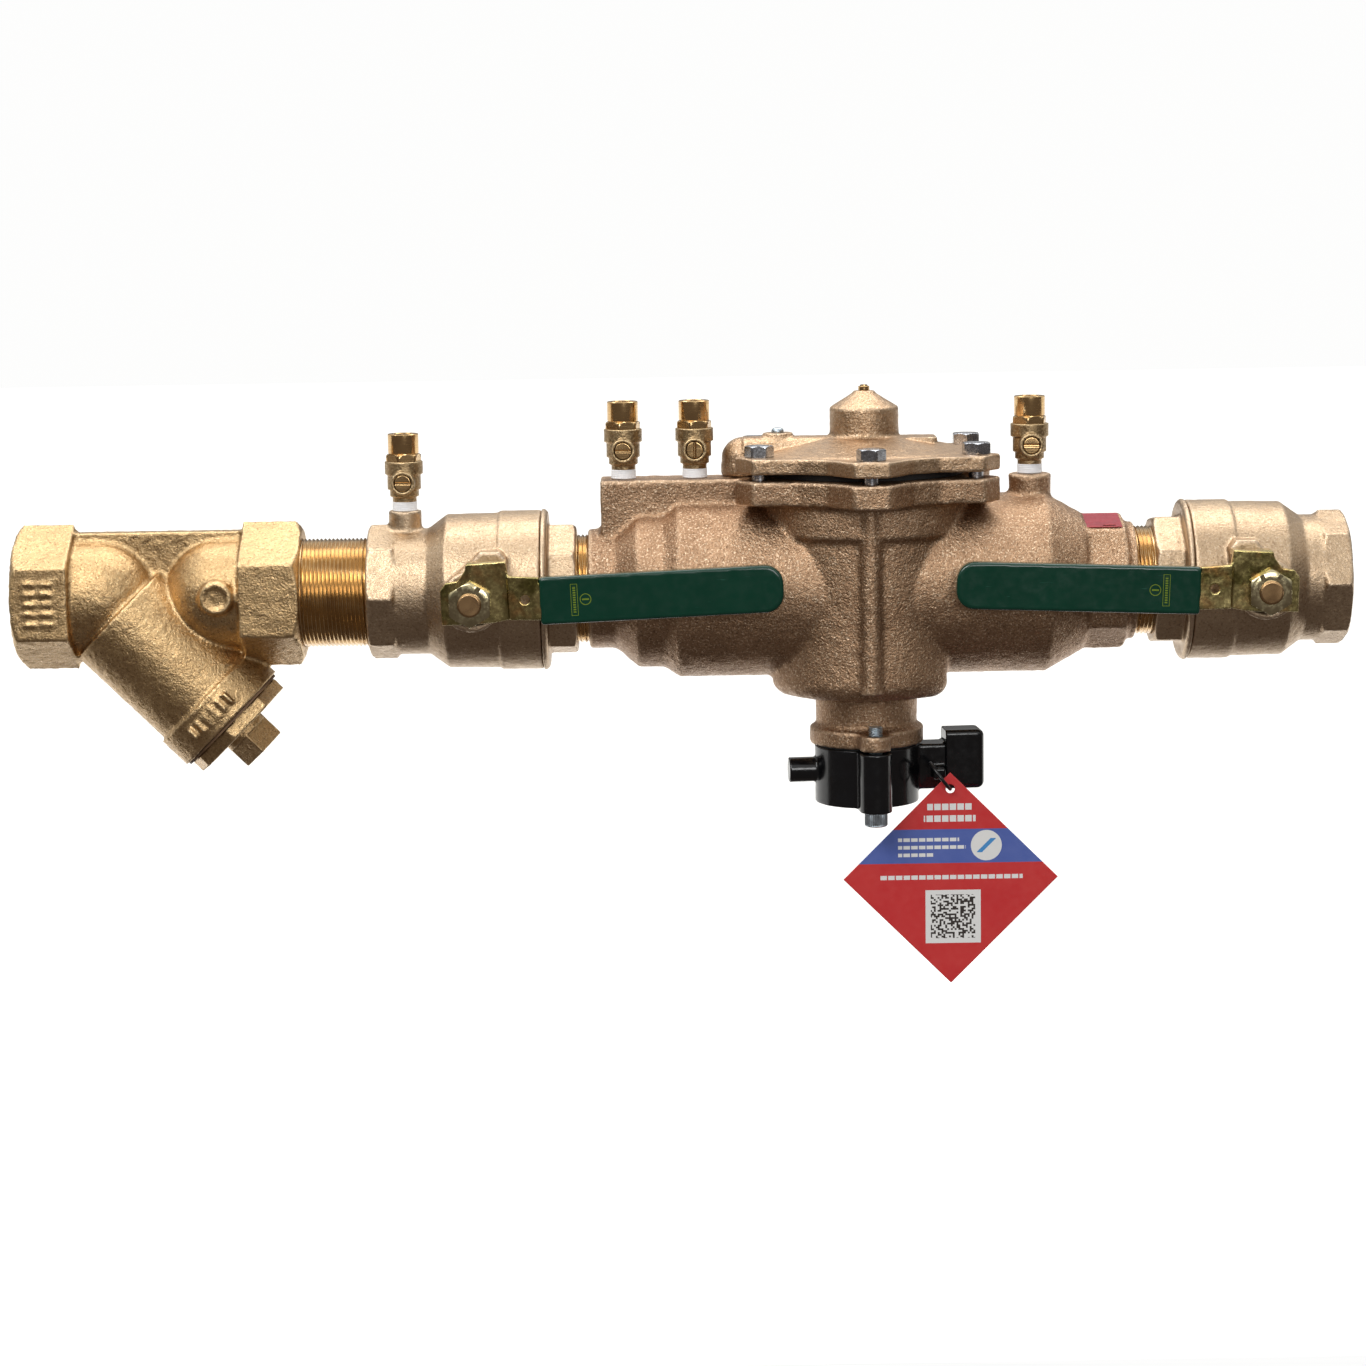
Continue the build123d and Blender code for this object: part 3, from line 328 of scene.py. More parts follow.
def zinc_yellow(name):
    """Yellow passivated zinc: olive and gold clouds with a faint iridescence on wavy sheet, and a painted
    highlight on its bends and edges.
    """
    paint = Paint(name, (168, 152, 92), metallic=1.0, roughness=0.2)
    clouds = paint.between(paint.noise(60, 4, 0.6), 0.38, 0.64)
    tint = paint.between(paint.noise(95, 3, 0.5), 0.5, 0.68)
    tone = paint.mix(clouds, (196, 180, 124), (116, 108, 60))
    tone = paint.mix(paint.math("MULTIPLY", tint, 0.5), tone, (196, 138, 84))
    # Painted highlight: convex bends and edges are mixed towards a pale yellow.
    tone = paint.mix(paint.math("MULTIPLY", paint.convexity(0.52, 0.6), 0.7), tone, (240, 222, 160))
    paint.set("Base Color", tone)
    paint.set("Roughness", paint.between(paint.noise(600, 3), 0.3, 0.7, 0.14, 0.28))
    waves = paint.bump(paint.noise(45, 2), 1.6 * MM, 0.6)
    paint.bump(paint.noise(500, 3), 0.03 * MM, 0.5, waves)
    return paint.material


def grip_vinyl(name, valve):
    """Dark green dipped vinyl with a small printed ring and frame near the hub."""
    paint = Paint(name, (2, 52, 37), metallic=0.0, roughness=0.16)
    side = GRIP_SIDES[valve]
    ring_middle, ring_radius, frame_middle = 62.5, 2.9, 56.5
    x, z = paint.axis("X"), paint.axis("Z")
    dx = paint.math("MULTIPLY", paint.math("SUBTRACT", x, BALLS[valve] * MM), float(side))
    cos, sin = math.cos(LEVER_TILT), math.sin(LEVER_TILT)
    u = paint.math("ADD", paint.math("MULTIPLY", dx, cos), paint.math("MULTIPLY", z, sin))
    w = paint.math("SUBTRACT", paint.math("MULTIPLY", z, cos), paint.math("MULTIPLY", dx, sin))
    front = paint.math("LESS_THAN", paint.axis("Y"), GRIP_FRONT * MM)

    def box(cu, half_u, half_w):
        """A rectangle on the middle line of the grip: its middle and half its size."""
        return paint.math("MULTIPLY", paint.within(u, cu, half_u), paint.within(w, 0, half_w))

    ring = paint.length(paint.math("SUBTRACT", u, ring_middle * MM), w)
    stroke = paint.math("MULTIPLY", paint.within(ring, 0, 1.9), paint.within(w, 0, 0.45))
    steps = paint.math("MODULO", paint.math("ADD", w, 20 * MM), 1.3 * MM)
    dashes = paint.math("MULTIPLY", box(frame_middle, 0.75, 7.4),
                        paint.math("LESS_THAN", steps, 0.8 * MM))
    border = paint.math("SUBTRACT", box(frame_middle, 1.9, 8.6), box(frame_middle, 1.6, 8.3))
    marks = paint.either(paint.within(ring, ring_radius, 0.22), stroke, border, dashes)
    marks = paint.math("MULTIPLY", marks, front)
    mottle = paint.between(paint.noise(40, 4), 0.35, 0.75)
    tone = paint.mix(paint.math("MULTIPLY", mottle, 0.4), (1, 49, 35), (3, 58, 42))
    scratch = paint.between(paint.noise(900, 2, 0.5, (0.12, 1, 1)), 0.72, 0.8)
    tone = paint.mix(paint.math("MULTIPLY", scratch, 0.25), tone, (60, 120, 104))
    paint.set("Base Color", paint.mix(paint.math("MULTIPLY", marks, 0.75), tone, (120, 138, 40)))
    paint.set("Roughness", paint.between(paint.noise(260, 4), 0.3, 0.7, 0.12, 0.24))
    paint.bump(paint.noise(180, 3), 0.06 * MM, 0.35)
    return paint.material


def tag_card(name):
    """A red card with a blue band, a pale disc, plain bars and a plain dot square."""
    paint = Paint(name, (206, 70, 66), metallic=0.0, roughness=0.34)
    u = paint.math("SUBTRACT", paint.axis("X"), TAG_X * MM)
    v = paint.math("SUBTRACT", TAG_TOP * MM, paint.axis("Z"))
    front = paint.math("LESS_THAN", paint.axis("Y"), TAG_FRONT * MM)

    def box(cu, cv, half_u, half_v):
        """A rectangle on the tag: its middle and half its size."""
        return paint.math("MULTIPLY", paint.within(u, cu, half_u), paint.within(v, cv, half_v))

    fade = paint.between(paint.noise(60, 4), 0.35, 0.75)
    red = paint.mix(paint.math("MULTIPLY", fade, 0.5), (196, 48, 50), (206, 66, 62))
    blue = paint.mix(paint.math("MULTIPLY", fade, 0.5), (78, 98, 168), (96, 112, 178))
    tone = paint.mix(box(0, 41.5, 90, 9.6), red, blue)
    disc_across, disc_down, disc_radius = 19.9, 41.3, 8.6
    du = paint.math("SUBTRACT", u, disc_across * MM)
    dv = paint.math("SUBTRACT", v, disc_down * MM)
    disc = paint.math("LESS_THAN", paint.length(du, dv), disc_radius * MM)
    bars = ((-0.4, 19.3, 12.5, 1.8), (-0.4, 25.9, 14.4, 1.8), (-12.2, 37.8, 17.0, 1.0),
            (-10.4, 42.1, 18.8, 1.0), (-19.3, 46.4, 9.9, 1.0), (0.5, 59.1, 39.6, 1.2))
    words = paint.either(*[box(*bar) for bar in bars])
    gaps = paint.math("GREATER_THAN", paint.math("MODULO", paint.math("ADD", u, 100 * MM), 4.3 * MM),
                      0.7 * MM)
    words = paint.math("MULTIPLY", words, gaps)
    square = box(1.3, 81.5, 15.4, 15.1)
    white = paint.math("MULTIPLY", paint.either(disc, words, square), front)
    tone = paint.mix(white, tone, (226, 226, 224))
    dots = paint.node("ShaderNodeTexWhiteNoise", noise_dimensions="2D")
    cell = paint.node("ShaderNodeCombineXYZ")
    for axis, value in (("X", u), ("Y", v)):
        paint.feed(cell.inputs[axis], paint.math("FLOOR", paint.math("DIVIDE", value, 1.05 * MM)))
    paint.feed(dots.inputs["Vector"], cell.outputs["Vector"])
    dark = paint.math("MULTIPLY", paint.math("GREATER_THAN", dots.outputs["Value"], 0.52),
                      box(1.2, 81.4, 12.4, 12.4))
    stripe = paint.math("LESS_THAN", paint.math("ABSOLUTE", paint.math("ADD", du, dv)), 1.6 * MM)
    mark = paint.math("MULTIPLY", stripe, box(disc_across, disc_down, 5.2, 4.0))
    tone = paint.mix(paint.math("MULTIPLY", dark, front), tone, (52, 46, 42))
    paint.set("Base Color", paint.mix(paint.math("MULTIPLY", mark, front), tone, (70, 140, 200)))
    paint.set("Roughness", paint.between(paint.noise(240, 4), 0.3, 0.7, 0.28, 0.42))
    paint.bump(paint.noise(55, 3), 0.25 * MM, 0.5)
    return paint.material


def red_plate(name):
    """Plain red plate with a worn, brighter edge."""
    paint = Paint(name, (150, 48, 58), metallic=0.6, roughness=0.4)
    clouds = paint.between(paint.noise(140, 4), 0.35, 0.7)
    tone = paint.mix(paint.math("MULTIPLY", clouds, 0.6), (158, 52, 62), (128, 38, 50))
    paint.set("Base Color", paint.mix(paint.math("MULTIPLY", paint.convexity(0.52, 0.6), 0.6),
                                      tone, (190, 150, 120)))
    paint.set("Roughness", paint.between(paint.noise(500, 3), 0.3, 0.7, 0.32, 0.5))
    paint.bump(paint.noise(700, 3), 0.03 * MM, 0.5)
    return paint.material


def floor_paint():
    """A pale sheet with a little light of its own, so that it stays as pale as the backdrop."""
    paint = Paint("studio_floor", (250, 249, 246), metallic=0.0, roughness=0.85)
    paint.set("Emission Color", linear((255, 254, 251)))
    paint.set("Emission Strength", 0.36)
    shade = paint.between(paint.noise(1.2, 2), 0.3, 0.7)
    paint.set("Base Color", paint.mix(paint.math("MULTIPLY", shade, 0.3),
                                      (251, 250, 247), (248, 247, 243)))
    return paint.material


LOOKS = {
    "strainer_bronze": (cast_metal, (200, 168, 122), (242, 216, 170), (120, 88, 54), 0.33, 0.46, 0.4, 0.25),
    "valve_bronze": (cast_metal, (192, 168, 138), (228, 210, 186), (140, 112, 86), 0.38, 0.30, 0.35, 0.35),
    "body_bronze": (cast_metal, (176, 143, 113), (240, 216, 186), (98, 70, 48), 0.40, 0.60, 0.62, 0.4),
    "cover_bronze": (cast_metal, (190, 160, 128), (234, 214, 186), (124, 94, 68), 0.36, 0.42, 0.45, 0.35),
    "cock_cast": (cast_metal, (176, 150, 112), (230, 208, 166), (94, 70, 42), 0.34, 0.34, 0.45, 0.4),
    "pipe_brass": (turned_metal, (210, 180, 134), (142, 106, 70), 0.2, "X"),
    "cock_brass": (turned_metal, (218, 184, 132), (150, 108, 66), 0.18, "Z"),
    "stem_brass": (turned_metal, (186, 152, 110), (120, 88, 56), 0.24, "Y"),
    "lever_steel": (zinc_yellow,),
    "nut_steel": (plain_metal, (202, 190, 152), (158, 146, 110), 0.17),
    "gland_steel": (plain_metal, (132, 122, 96), (86, 76, 56), 0.3),
    "ball_chrome": (plain_metal, (214, 214, 216), (190, 190, 194), 0.1),
    "bolt_steel": (plain_metal, (186, 188, 192), (120, 122, 128), 0.22),
    "screw_zinc": (plain_metal, (186, 196, 202), (140, 150, 160), 0.34),
    "spring_steel": (plain_metal, (168, 168, 170), (120, 120, 124), 0.25),
    "relief_seat_metal": (plain_metal, (176, 172, 166), (140, 134, 126), 0.28),
    "check_plastic": (moulded, (46, 48, 52), (70, 72, 76), 0.4),
    "seal_rubber": (moulded, (26, 26, 27), (44, 44, 44), 0.62),
    "seal_ptfe": (moulded, (232, 231, 226), (214, 212, 206), 0.4),
    "gasket_fibre": (moulded, (104, 78, 54), (134, 104, 76), 0.7),
    "sensor_plastic": (moulded, (9, 10, 12), (16, 18, 21), 0.16),
    "tie_plastic": (moulded, (12, 12, 13), (28, 28, 30), 0.28),
    "tape_ptfe": (moulded, (240, 241, 243), (222, 224, 228), 0.45, 900, 0.1),
    "grip_vinyl_inlet": (grip_vinyl, "inlet"),
    "grip_vinyl_outlet": (grip_vinyl, "outlet"),
    "tag_card": (tag_card,),
    "nameplate_red": (red_plate,),
}
MATERIALS = {name: look(name, *given) for name, (look, *given) in LOOKS.items()}


# --- Meshes ---------------------------------------------------------------------------
def linked(name, mesh, material):
    """A new object of a mesh, smooth all over and in one material."""
    piece = bpy.data.objects.new(name, mesh)
    bpy.context.collection.objects.link(piece)
    mesh.materials.clear()
    mesh.materials.append(MATERIALS[material])
    mesh.polygons.foreach_set("use_smooth", [True] * len(mesh.polygons))
    mesh.update()
    return piece


def stand_in(piece, body, node):
    """The piece stands for a CAD node: it rides on its body, and the node is hidden."""
    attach(piece, body)
    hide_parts(node)


HASH_AXES, HASH_SEED = (73856093, 19349663, 83492791), 2654435761
HASH_MIXES, HASH_BITS = (1274126177, 668265263), 0x7FFFFFFF


def lattice(points, seed):
    """Smooth value noise from -1 to 1 at each point, from a hashed unit lattice."""
    base = np.floor(points).astype(np.int64)
    part = points - base
    part = part * part * (3 - 2 * part)
    total = np.zeros(len(points))
    for corner in range(8):
        step = np.array([corner & 1, corner >> 1 & 1, corner >> 2 & 1])
        key = (base + step) @ np.array(HASH_AXES) + seed * HASH_SEED
        key = (key ^ (key >> 13)) * HASH_MIXES[0] & HASH_BITS
        key = (key ^ (key >> 15)) * HASH_MIXES[1] & HASH_BITS
        weight = np.prod(np.where(step == 1, part, 1 - part), axis=1)
        total += weight * ((key & 0xFFFF) / 32767.5 - 1)
    return total


EVEN_PASSES, EVEN_SHARES = 4, (0.6, -0.62)
LEVEL_SHARE, SLIDE_SHARE = 0.8, 0.25


def rounds(mesh, size, concave, convex, count):
    """Round the edges of a dense mesh: inner corners to one radius, outer corners to another.

    size is the mesh's own step. A few passes even out the voxel stairs first. Then each of count
    passes levels what bends more than the radius allows, and slides points along the surface.
    """
    points = len(mesh.vertices)
    place = np.zeros(points * 3)
    mesh.vertices.foreach_get("co", place)
    place = place.reshape(-1, 3)
    edges = np.zeros(len(mesh.edges) * 2, np.int64)
    mesh.edges.foreach_get("vertices", edges)
    ends = np.concatenate([edges[0::2], edges[1::2]])
    others = np.concatenate([edges[1::2], edges[0::2]])
    degree = np.maximum(np.bincount(ends, minlength=points), 1)[:, None]

    def pull():
        sums = [np.bincount(ends, place[others, k], points) for k in range(3)]
        return np.stack(sums, 1) / degree - place

    def normals():
        mesh.vertices.foreach_set("co", place.ravel())
        mesh.update()
        found = np.zeros(points * 3, np.float32)
        mesh.vertex_normals.foreach_get("vector", found)
        return found.reshape(-1, 3).astype(float)

    for step in range(EVEN_PASSES):
        place = place + pull() * EVEN_SHARES[step % 2]
    keep_in = size * size / (4 * concave)
    keep_out = size * size / (4 * convex)
    for step in range(count):
        if step % 3 == 0:
            out = normals()
        shift = pull()
        rise = np.sum(shift * out, 1)
        level = np.where(rise > 0, np.maximum(rise - keep_in, 0), np.minimum(rise + keep_out, 0))
        slide = shift - rise[:, None] * out
        place = place + out * level[:, None] * LEVEL_SHARE + slide * SLIDE_SHARE
    return place, normals()


def merge(name, meshes):
    """One mesh of several."""
    points, faces, start = [], [], 0
    for mesh in meshes:
        place = np.zeros(len(mesh.vertices) * 3)
        mesh.vertices.foreach_get("co", place)
        points.append(place.reshape(-1, 3))
        faces += [tuple(v + start for v in p.vertices) for p in mesh.polygons]
        start += len(mesh.vertices)
    made = bpy.data.meshes.new(name)
    made.from_pydata(np.vstack(points).tolist(), [], faces)
    made.update()
    return made


def raised_bars(origin, right, up, bars, height=1.0):
    """Small raised blocks on a casting, as (right, up, width, height along up) from an origin."""
    right, up = np.array(right, float), np.array(up, float)
    out = np.cross(right, up)
    meshes = []
    for across, rise, wide, tall in bars:
        corners = []
        for depth in (-1.5, height):
            for i, j in ((-1, -1), (1, -1), (1, 1), (-1, 1)):
                corners.append(np.array(origin) + right * (across + i * wide / 2)
                               + up * (rise + j * tall / 2) + out * depth)
        mesh = bpy.data.meshes.new("bar")
        sides = [(0, 1, 5, 4), (1, 2, 6, 5), (2, 3, 7, 6), (3, 0, 4, 7), (3, 2, 1, 0), (4, 5, 6, 7)]
        mesh.from_pydata((np.array(corners) * MM).tolist(), [], sides)
        meshes.append(mesh)
    return meshes


GRAIN_INWARD = 0.6
GRAIN_OFFSET = 17.3


def casting(name, node, material, voxel, concave, convex, count, grain=(), thin=None, raised=()):
    """A dense copy of a CAD node with rounded corners and a cast surface, in mm.

    grain holds (scale, depth) pairs. raised holds more meshes for its outside. thin is a test for
    points on hidden walls, and the share of all faces to keep by taking from there first.
    """
    raw = merge(name + "_raw", [NODES[node].data, *raised])
    source = bpy.data.objects.new(name + "_raw", raw)
    bpy.context.collection.objects.link(source)
    remesh = source.modifiers.new("remesh", "REMESH")
    remesh.mode = "VOXEL"
    remesh.voxel_size = voxel * MM
    remesh.adaptivity = 0
    graph = bpy.context.evaluated_depsgraph_get()
    mesh = bpy.data.meshes.new_from_object(source.evaluated_get(graph))
    bpy.data.objects.remove(source)
    mesh.name = name
    place, out = rounds(mesh, voxel * MM, concave * MM, convex * MM, count)
    shift = np.zeros(len(place))
    for seed, (scale, depth) in enumerate(grain):
        noise = lattice(place / (scale * MM) + GRAIN_OFFSET * seed, seed + 3)
        shift += (noise - GRAIN_INWARD) * depth * MM
    place = np.clip(place + out * shift[:, None], CAD_BOX[0], CAD_BOX[1])
    mesh.vertices.foreach_set("co", place.ravel())
    mesh.update()
    piece = linked(name, mesh, material)
    if thin:
        inside, ratio = thin
        group = piece.vertex_groups.new(name="inside")
        group.add([int(i) for i in np.nonzero(inside(place / MM))[0]], 1.0, "REPLACE")
        fewer = piece.modifiers.new("fewer", "DECIMATE")
        fewer.ratio = ratio
        fewer.vertex_group = "inside"
        fewer.vertex_group_factor = 10
        graph = bpy.context.evaluated_depsgraph_get()
        lean = bpy.data.meshes.new_from_object(piece.evaluated_get(graph))
        piece.modifiers.clear()
        piece.data = lean
        lean.name = name
    return piece


def grid_mesh(name, rows):
    """A solid through rings of points, closed over its first and last ring."""
    rings = np.array(rows, float)
    count, around = rings.shape[:2]
    points = rings.reshape(-1, 3)
    faces = []
    for i in range(count - 1):
        for j in range(around):
            k = (j + 1) % around
            faces.append((i * around + j, i * around + k, (i + 1) * around + k, (i + 1) * around + j))
    faces.append(tuple(reversed(range(around))))
    faces.append(tuple((count - 1) * around + j for j in range(around)))
    mesh = bpy.data.meshes.new(name)
    mesh.from_pydata((points * MM).tolist(), [], faces)
    mesh.update()
    return mesh


def frame_of(axis):
    """Two directions across an axis."""
    n = Vector(axis).normalized()
    a = Vector((0, 0, 1)) if abs(n.z) < 0.9 else Vector((1, 0, 0))
    a = (a - n * a.dot(n)).normalized()
    return np.array(n), np.array(a), np.array(n.cross(a))


def rings_about(origin, axis, profile, around, radius_of=None):
    """Rings of points about an axis. radius_of may shape a ring's radius by angle."""
    n, a, b = frame_of(axis)
    angles = np.linspace(0, 2 * math.pi, around, endpoint=False)
    rows = []
    for step, (along, radius) in enumerate(profile):
        r = np.full(around, float(radius))
        if radius_of:
            r = radius_of(step, along, radius, angles)
        ring = np.array(origin) + n * along + np.outer(r * np.cos(angles), a) + np.outer(
            r * np.sin(angles), b)
        rows.append(ring)
    return rows


def spun(name, origin, axis, profile, around, radius_of=None):
    """A solid turned about an axis. profile is a list of (distance along, radius)."""
    return grid_mesh(name, rings_about(origin, axis, profile, around, radius_of))


def looped(name, origin, axis, profile, around, radius_of=None):
    """A hollow turned solid, whose profile closes on itself."""
    rings = np.array(rings_about(origin, axis, profile, around, radius_of))
    count = len(rings)
    faces = []
    for i in range(count):
        for j in range(around):
            k, m = (j + 1) % around, (i + 1) % count
            faces.append((i * around + j, i * around + k, m * around + k, m * around + j))
    mesh = bpy.data.meshes.new(name)
    mesh.from_pydata((rings.reshape(-1, 3) * MM).tolist(), [], faces)
    mesh.update()
    return mesh


def hex_limit(angles, flat, turn):
    """The radius of a hexagon at each angle, from half its width across flats."""
    sector = (angles + turn + math.pi / 6) % (math.pi / 3) - math.pi / 6
    return flat / np.cos(sector)


def keep_sharp(piece, degrees=32):
    """Shading that is smooth within a face and sharp over an edge, in the mesh itself."""
    piece.data.set_sharp_from_angle(angle=math.radians(degrees))
    return piece


def hex_head(name, origin, axis, flat, height, turn=0.0, shank=None, dish=0.0):
    """A hexagon head or nut with its corners turned off, on an optional shank below it."""
    slope = math.tan(math.radians(28))

    def shaped(step, along, radius, angles):
        if radius < flat * 0.9:
            return np.full(len(angles), float(radius))
        cone_top = flat - 0.15 + (height - along) / slope
        cone_low = flat - 0.1 + (along + 0.35) / slope
        return np.minimum(np.minimum(hex_limit(angles, flat, turn), cone_top), cone_low)

    profile = []
    if shank:
        profile += [(-shank[1], shank[0] * 0.85), (-shank[1] + 0.6, shank[0]), (0, shank[0])]
    else:
        profile += [(0, flat * 0.6)]
    profile += [(0, flat), (0.15, flat), (0.5, flat)]
    profile += [(height * 0.5, flat)]
    profile += [(height - 1.2, flat), (height - 0.8, flat), (height - 0.45, flat), (height - 0.2, flat)]
    profile += [(height, flat * 0.96)]
    profile += [(height, flat * 0.7), (height - dish, flat * 0.55)]
    return spun(name, origin, axis, profile, 72, shaped)


def threads(name, origin, axis, length, crest, depth, pitch, around, bore=None, per_pitch=8,
            ends=((0, 0), (0, 0))):
    """A helical screw thread, hollow where it has a bore.

    ends are the (length, radius) of plain parts before and after it.
    """
    steps = int(length / pitch * per_pitch)
    profile, kinds = [], []
    before, after = ends
    if bore:
        profile.append((-before[0], bore))
        kinds.append(0)
    if before[0]:
        profile += [(-before[0], before[1]), (-0.02, before[1])]
        kinds += [0, 0]
    for i in range(steps + 1):
        profile.append((length * i / steps, crest))
        kinds.append(1)
    if after[0]:
        profile += [(length + 0.02, after[1]), (length + after[0], after[1])]
        kinds += [0, 0]
    if bore:
        profile.append((length + after[0], bore))
        kinds.append(0)
        for i in range(1, 8):
            back = (length + after[0] + before[0]) * i / 8
            profile.append((length + after[0] - back, bore))
            kinds.append(0)

    def shaped(step, along, radius, angles):
        if kinds[step] == 0:
            return np.full(len(angles), float(radius))
        phase = (along / pitch - angles / (2 * math.pi)) % 1.0
        wave = np.abs(phase * 2 - 1)
        wave = np.clip(wave * 1.16 - 0.08, 0, 1)
        fade = min(1.0, along / (0.35 * pitch), (length - along) / (0.35 * pitch))
        return crest - depth * (wave * max(fade, 0) + 0.5 * (1 - max(fade, 0)))

    build = looped if bore else spun
    return build(name, origin, axis, profile, around, shaped)


# --- Castings -------------------------------------------------------------------------
def inside_main_body(p):
    """Points on the walls of the chambers, the relief well and the vent, which need fewer faces."""
    pipe = np.hypot(p[:, 1], p[:, 2])
    well = np.hypot(p[:, 0] - RELIEF_AXIS, p[:, 1])
    chambers = (pipe < CHAMBER_RADIUS) & (p[:, 0] > CHAMBERS[0]) & (p[:, 0] < CHAMBERS[1])
    chambers &= np.abs(p[:, 2]) < CHAMBER_RISE
    upper = (well < WELL_RADIUS) & (p[:, 2] > WELL_SPAN[0]) & (p[:, 2] < WELL_SPAN[1])
    vent = (well < VENT_RADIUS) & (p[:, 2] < VENT_TOP)
    return chambers | upper | vent


CAST_GRAIN = ((2.1, 0.16), (4.6, 0.14))
piece = casting("main_body_casting", "main_body", "body_bronze", 1.35, concave=6.0, convex=1.6,
                count=40, grain=CAST_GRAIN, thin=(inside_main_body, 0.72))
stand_in(piece, "root", "main_body")

piece = casting("cover_casting", "cover", "cover_bronze", 1.0, concave=3.0, convex=1.1, count=24,
                grain=((1.9, 0.10), (4.6, 0.09)))
stand_in(piece, "root", "cover")

boss_rim = spun("boss_rim", (113, -27.5, 2), (0, -1, 0),
                [(0, 9.6), (7.6, 9.6), (8.8, 9.2), (9.6, 8.2), (9.6, 6.4), (8.4, 5.4), (8.4, 0.3)], 40)
hex_marks = raised_bars((16, -35, 0), (1, 0, 0), (0, 0, 1),
                        [(x, 5.6 * k, 6.2, 1.7) for x in (-4.6, 4.6) for k in range(-2, 3)], 0.9)
slant = 0.5 ** 0.5
collar_marks = raised_bars((STRAINER_BRANCH + COLLAR_REACH * slant, -35.5, -COLLAR_REACH * slant),
                           (slant, 0, slant), (-slant, 0, slant),
                           [(-14 + 5.6 * k, 0, 2.2, 7.5) for k in range(6)], 0.8)
piece = casting("strainer_casting", "strainer_body", "strainer_bronze", 1.15, concave=3.5,
                convex=1.2, count=30, grain=((1.7, 0.2), (4.2, 0.14)),
                raised=[boss_rim, *hex_marks, *collar_marks])
stand_in(piece, "root", "strainer_body")

piece = casting("strainer_cap_casting", "strainer_cap", "strainer_bronze", 0.9, concave=2.0,
                convex=0.9, count=16, grain=((1.9, 0.12),))
stand_in(piece, "root", "strainer_cap")

piece = casting("strainer_plug_casting", "strainer_plug", "strainer_bronze", 0.6, concave=1.0,
                convex=1.0, count=16, grain=((2.1, 0.08),))
stand_in(piece, "root", "strainer_plug")

for valve in BALLS:
    piece = casting(f"{valve}_valve_body_casting", f"{valve}_valve_body", "valve_bronze", 1.05,
                    concave=3.0, convex=0.9, count=24, grain=((2.4, 0.07), (6.0, 0.08)))
    stand_in(piece, "root", f"{valve}_valve_body")
    piece = casting(f"{valve}_tailpiece_casting", f"{valve}_valve_tailpiece", "valve_bronze", 1.0,
                    concave=2.0, convex=0.8, count=16, grain=((2.4, 0.06), (6.0, 0.06)))
    stand_in(piece, "root", f"{valve}_valve_tailpiece")

# --- Nipples --------------------------------------------------------------------------
for name, (start, end) in NIPPLES.items():
    mesh = threads(name + "_threaded", (start, 0, 0), (1, 0, 0), end - start, PIPE_CREST, PIPE_DEPTH,
                   PIPE_PITCH, 128, PIPE_BORE, 10, (PIPE_END, PIPE_END))
    piece = keep_sharp(linked(name + "_threaded", mesh, "pipe_brass"), 50)
    stand_in(piece, "root", name)

# --- Levers ---------------------------------------------------------------------------
for valve, ball in BALLS.items():
    body = f"{valve}_shutoff"
    piece = casting(f"{valve}_lever_steel", f"{valve}_valve_handle", "lever_steel", 0.5,
                    concave=2.2, convex=0.8, count=20)
    stand_in(piece, body, f"{valve}_valve_handle")
    piece = casting(f"{valve}_grip_vinyl", f"{valve}_valve_grip", f"grip_vinyl_{valve}", 0.7,
                    concave=1.5, convex=2.4, count=60, grain=((9.0, 0.05),))
    stand_in(piece, body, f"{valve}_valve_grip")
    mesh = hex_head(f"{valve}_lever_nut", (ball, NUT_FACE, 0), (0, -1, 0), NUT_FLAT, NUT_HEIGHT,
                    math.radians(30))
    piece = keep_sharp(linked(f"{valve}_lever_nut", mesh, "nut_steel"))
    stand_in(piece, body, f"{valve}_valve_handle_nut")
    piece = casting(f"{valve}_stem_turned", f"{valve}_valve_stem", "stem_brass", 0.35,
                    concave=0.4, convex=0.5, count=10)
    stand_in(piece, body, f"{valve}_valve_stem")

piece = casting("gland_nuts_turned", "valve_gland_nuts", "gland_steel", 0.4, concave=0.5,
                convex=0.6, count=12)
stand_in(piece, "root", "valve_gland_nuts")

# --- Cover bolts, bleed screw, sensing plug and sensor screws -------------------------
heads = []
for k in range(BOLT_COUNT):
    angle = math.radians(30) + 2 * math.pi * k / BOLT_COUNT
    place = (RELIEF_AXIS + BOLT_CIRCLE * math.cos(angle), BOLT_CIRCLE * math.sin(angle), BOLT_SEAT)
    heads.append(hex_head(f"head{k}", place, (0, 0, 1), BOLT_FLAT, BOLT_HEIGHT, math.radians(11 * k),
                          shank=BOLT_SHANK, dish=0.35))
piece = keep_sharp(linked("cover_bolts_hex", merge("cover_bolts_hex", heads), "bolt_steel"))
stand_in(piece, "root", "cover_bolts")

mesh = spun("bleed_screw_turned", (RELIEF_AXIS, 0, BLEED_SEAT), (0, 0, 1),
            [(0, 1.2), (0, 2.3), (0.4, 2.5), (14.6, 2.5), (14.6, 2.9), (14.8, 3.1), (16.6, 3.1),
             (16.9, 2.9), (16.9, 2.2), (17.0, 2.1), (17.7, 2.0), (17.7, 1.0)], 40)
piece = keep_sharp(linked("bleed_screw_turned", mesh, "cock_brass"))
stand_in(piece, "root", "bleed_screw")

mesh = spun("sensing_plug_domed", (PLUG_X, 0, PLUG_SEAT), (0, 0, 1),
            [(0, 1.2), (0, 2.3), (0.3, 2.5), (6, 2.5), (6, 3.3), (6.2, 3.4), (7.0, 3.4), (7.9, 3.1),
             (8.5, 2.4), (8.78, 1.3), (8.8, 0.4)], 40)
piece = keep_sharp(linked("sensing_plug_domed", mesh, "screw_zinc"))
stand_in(piece, "root", "sensing_plug")


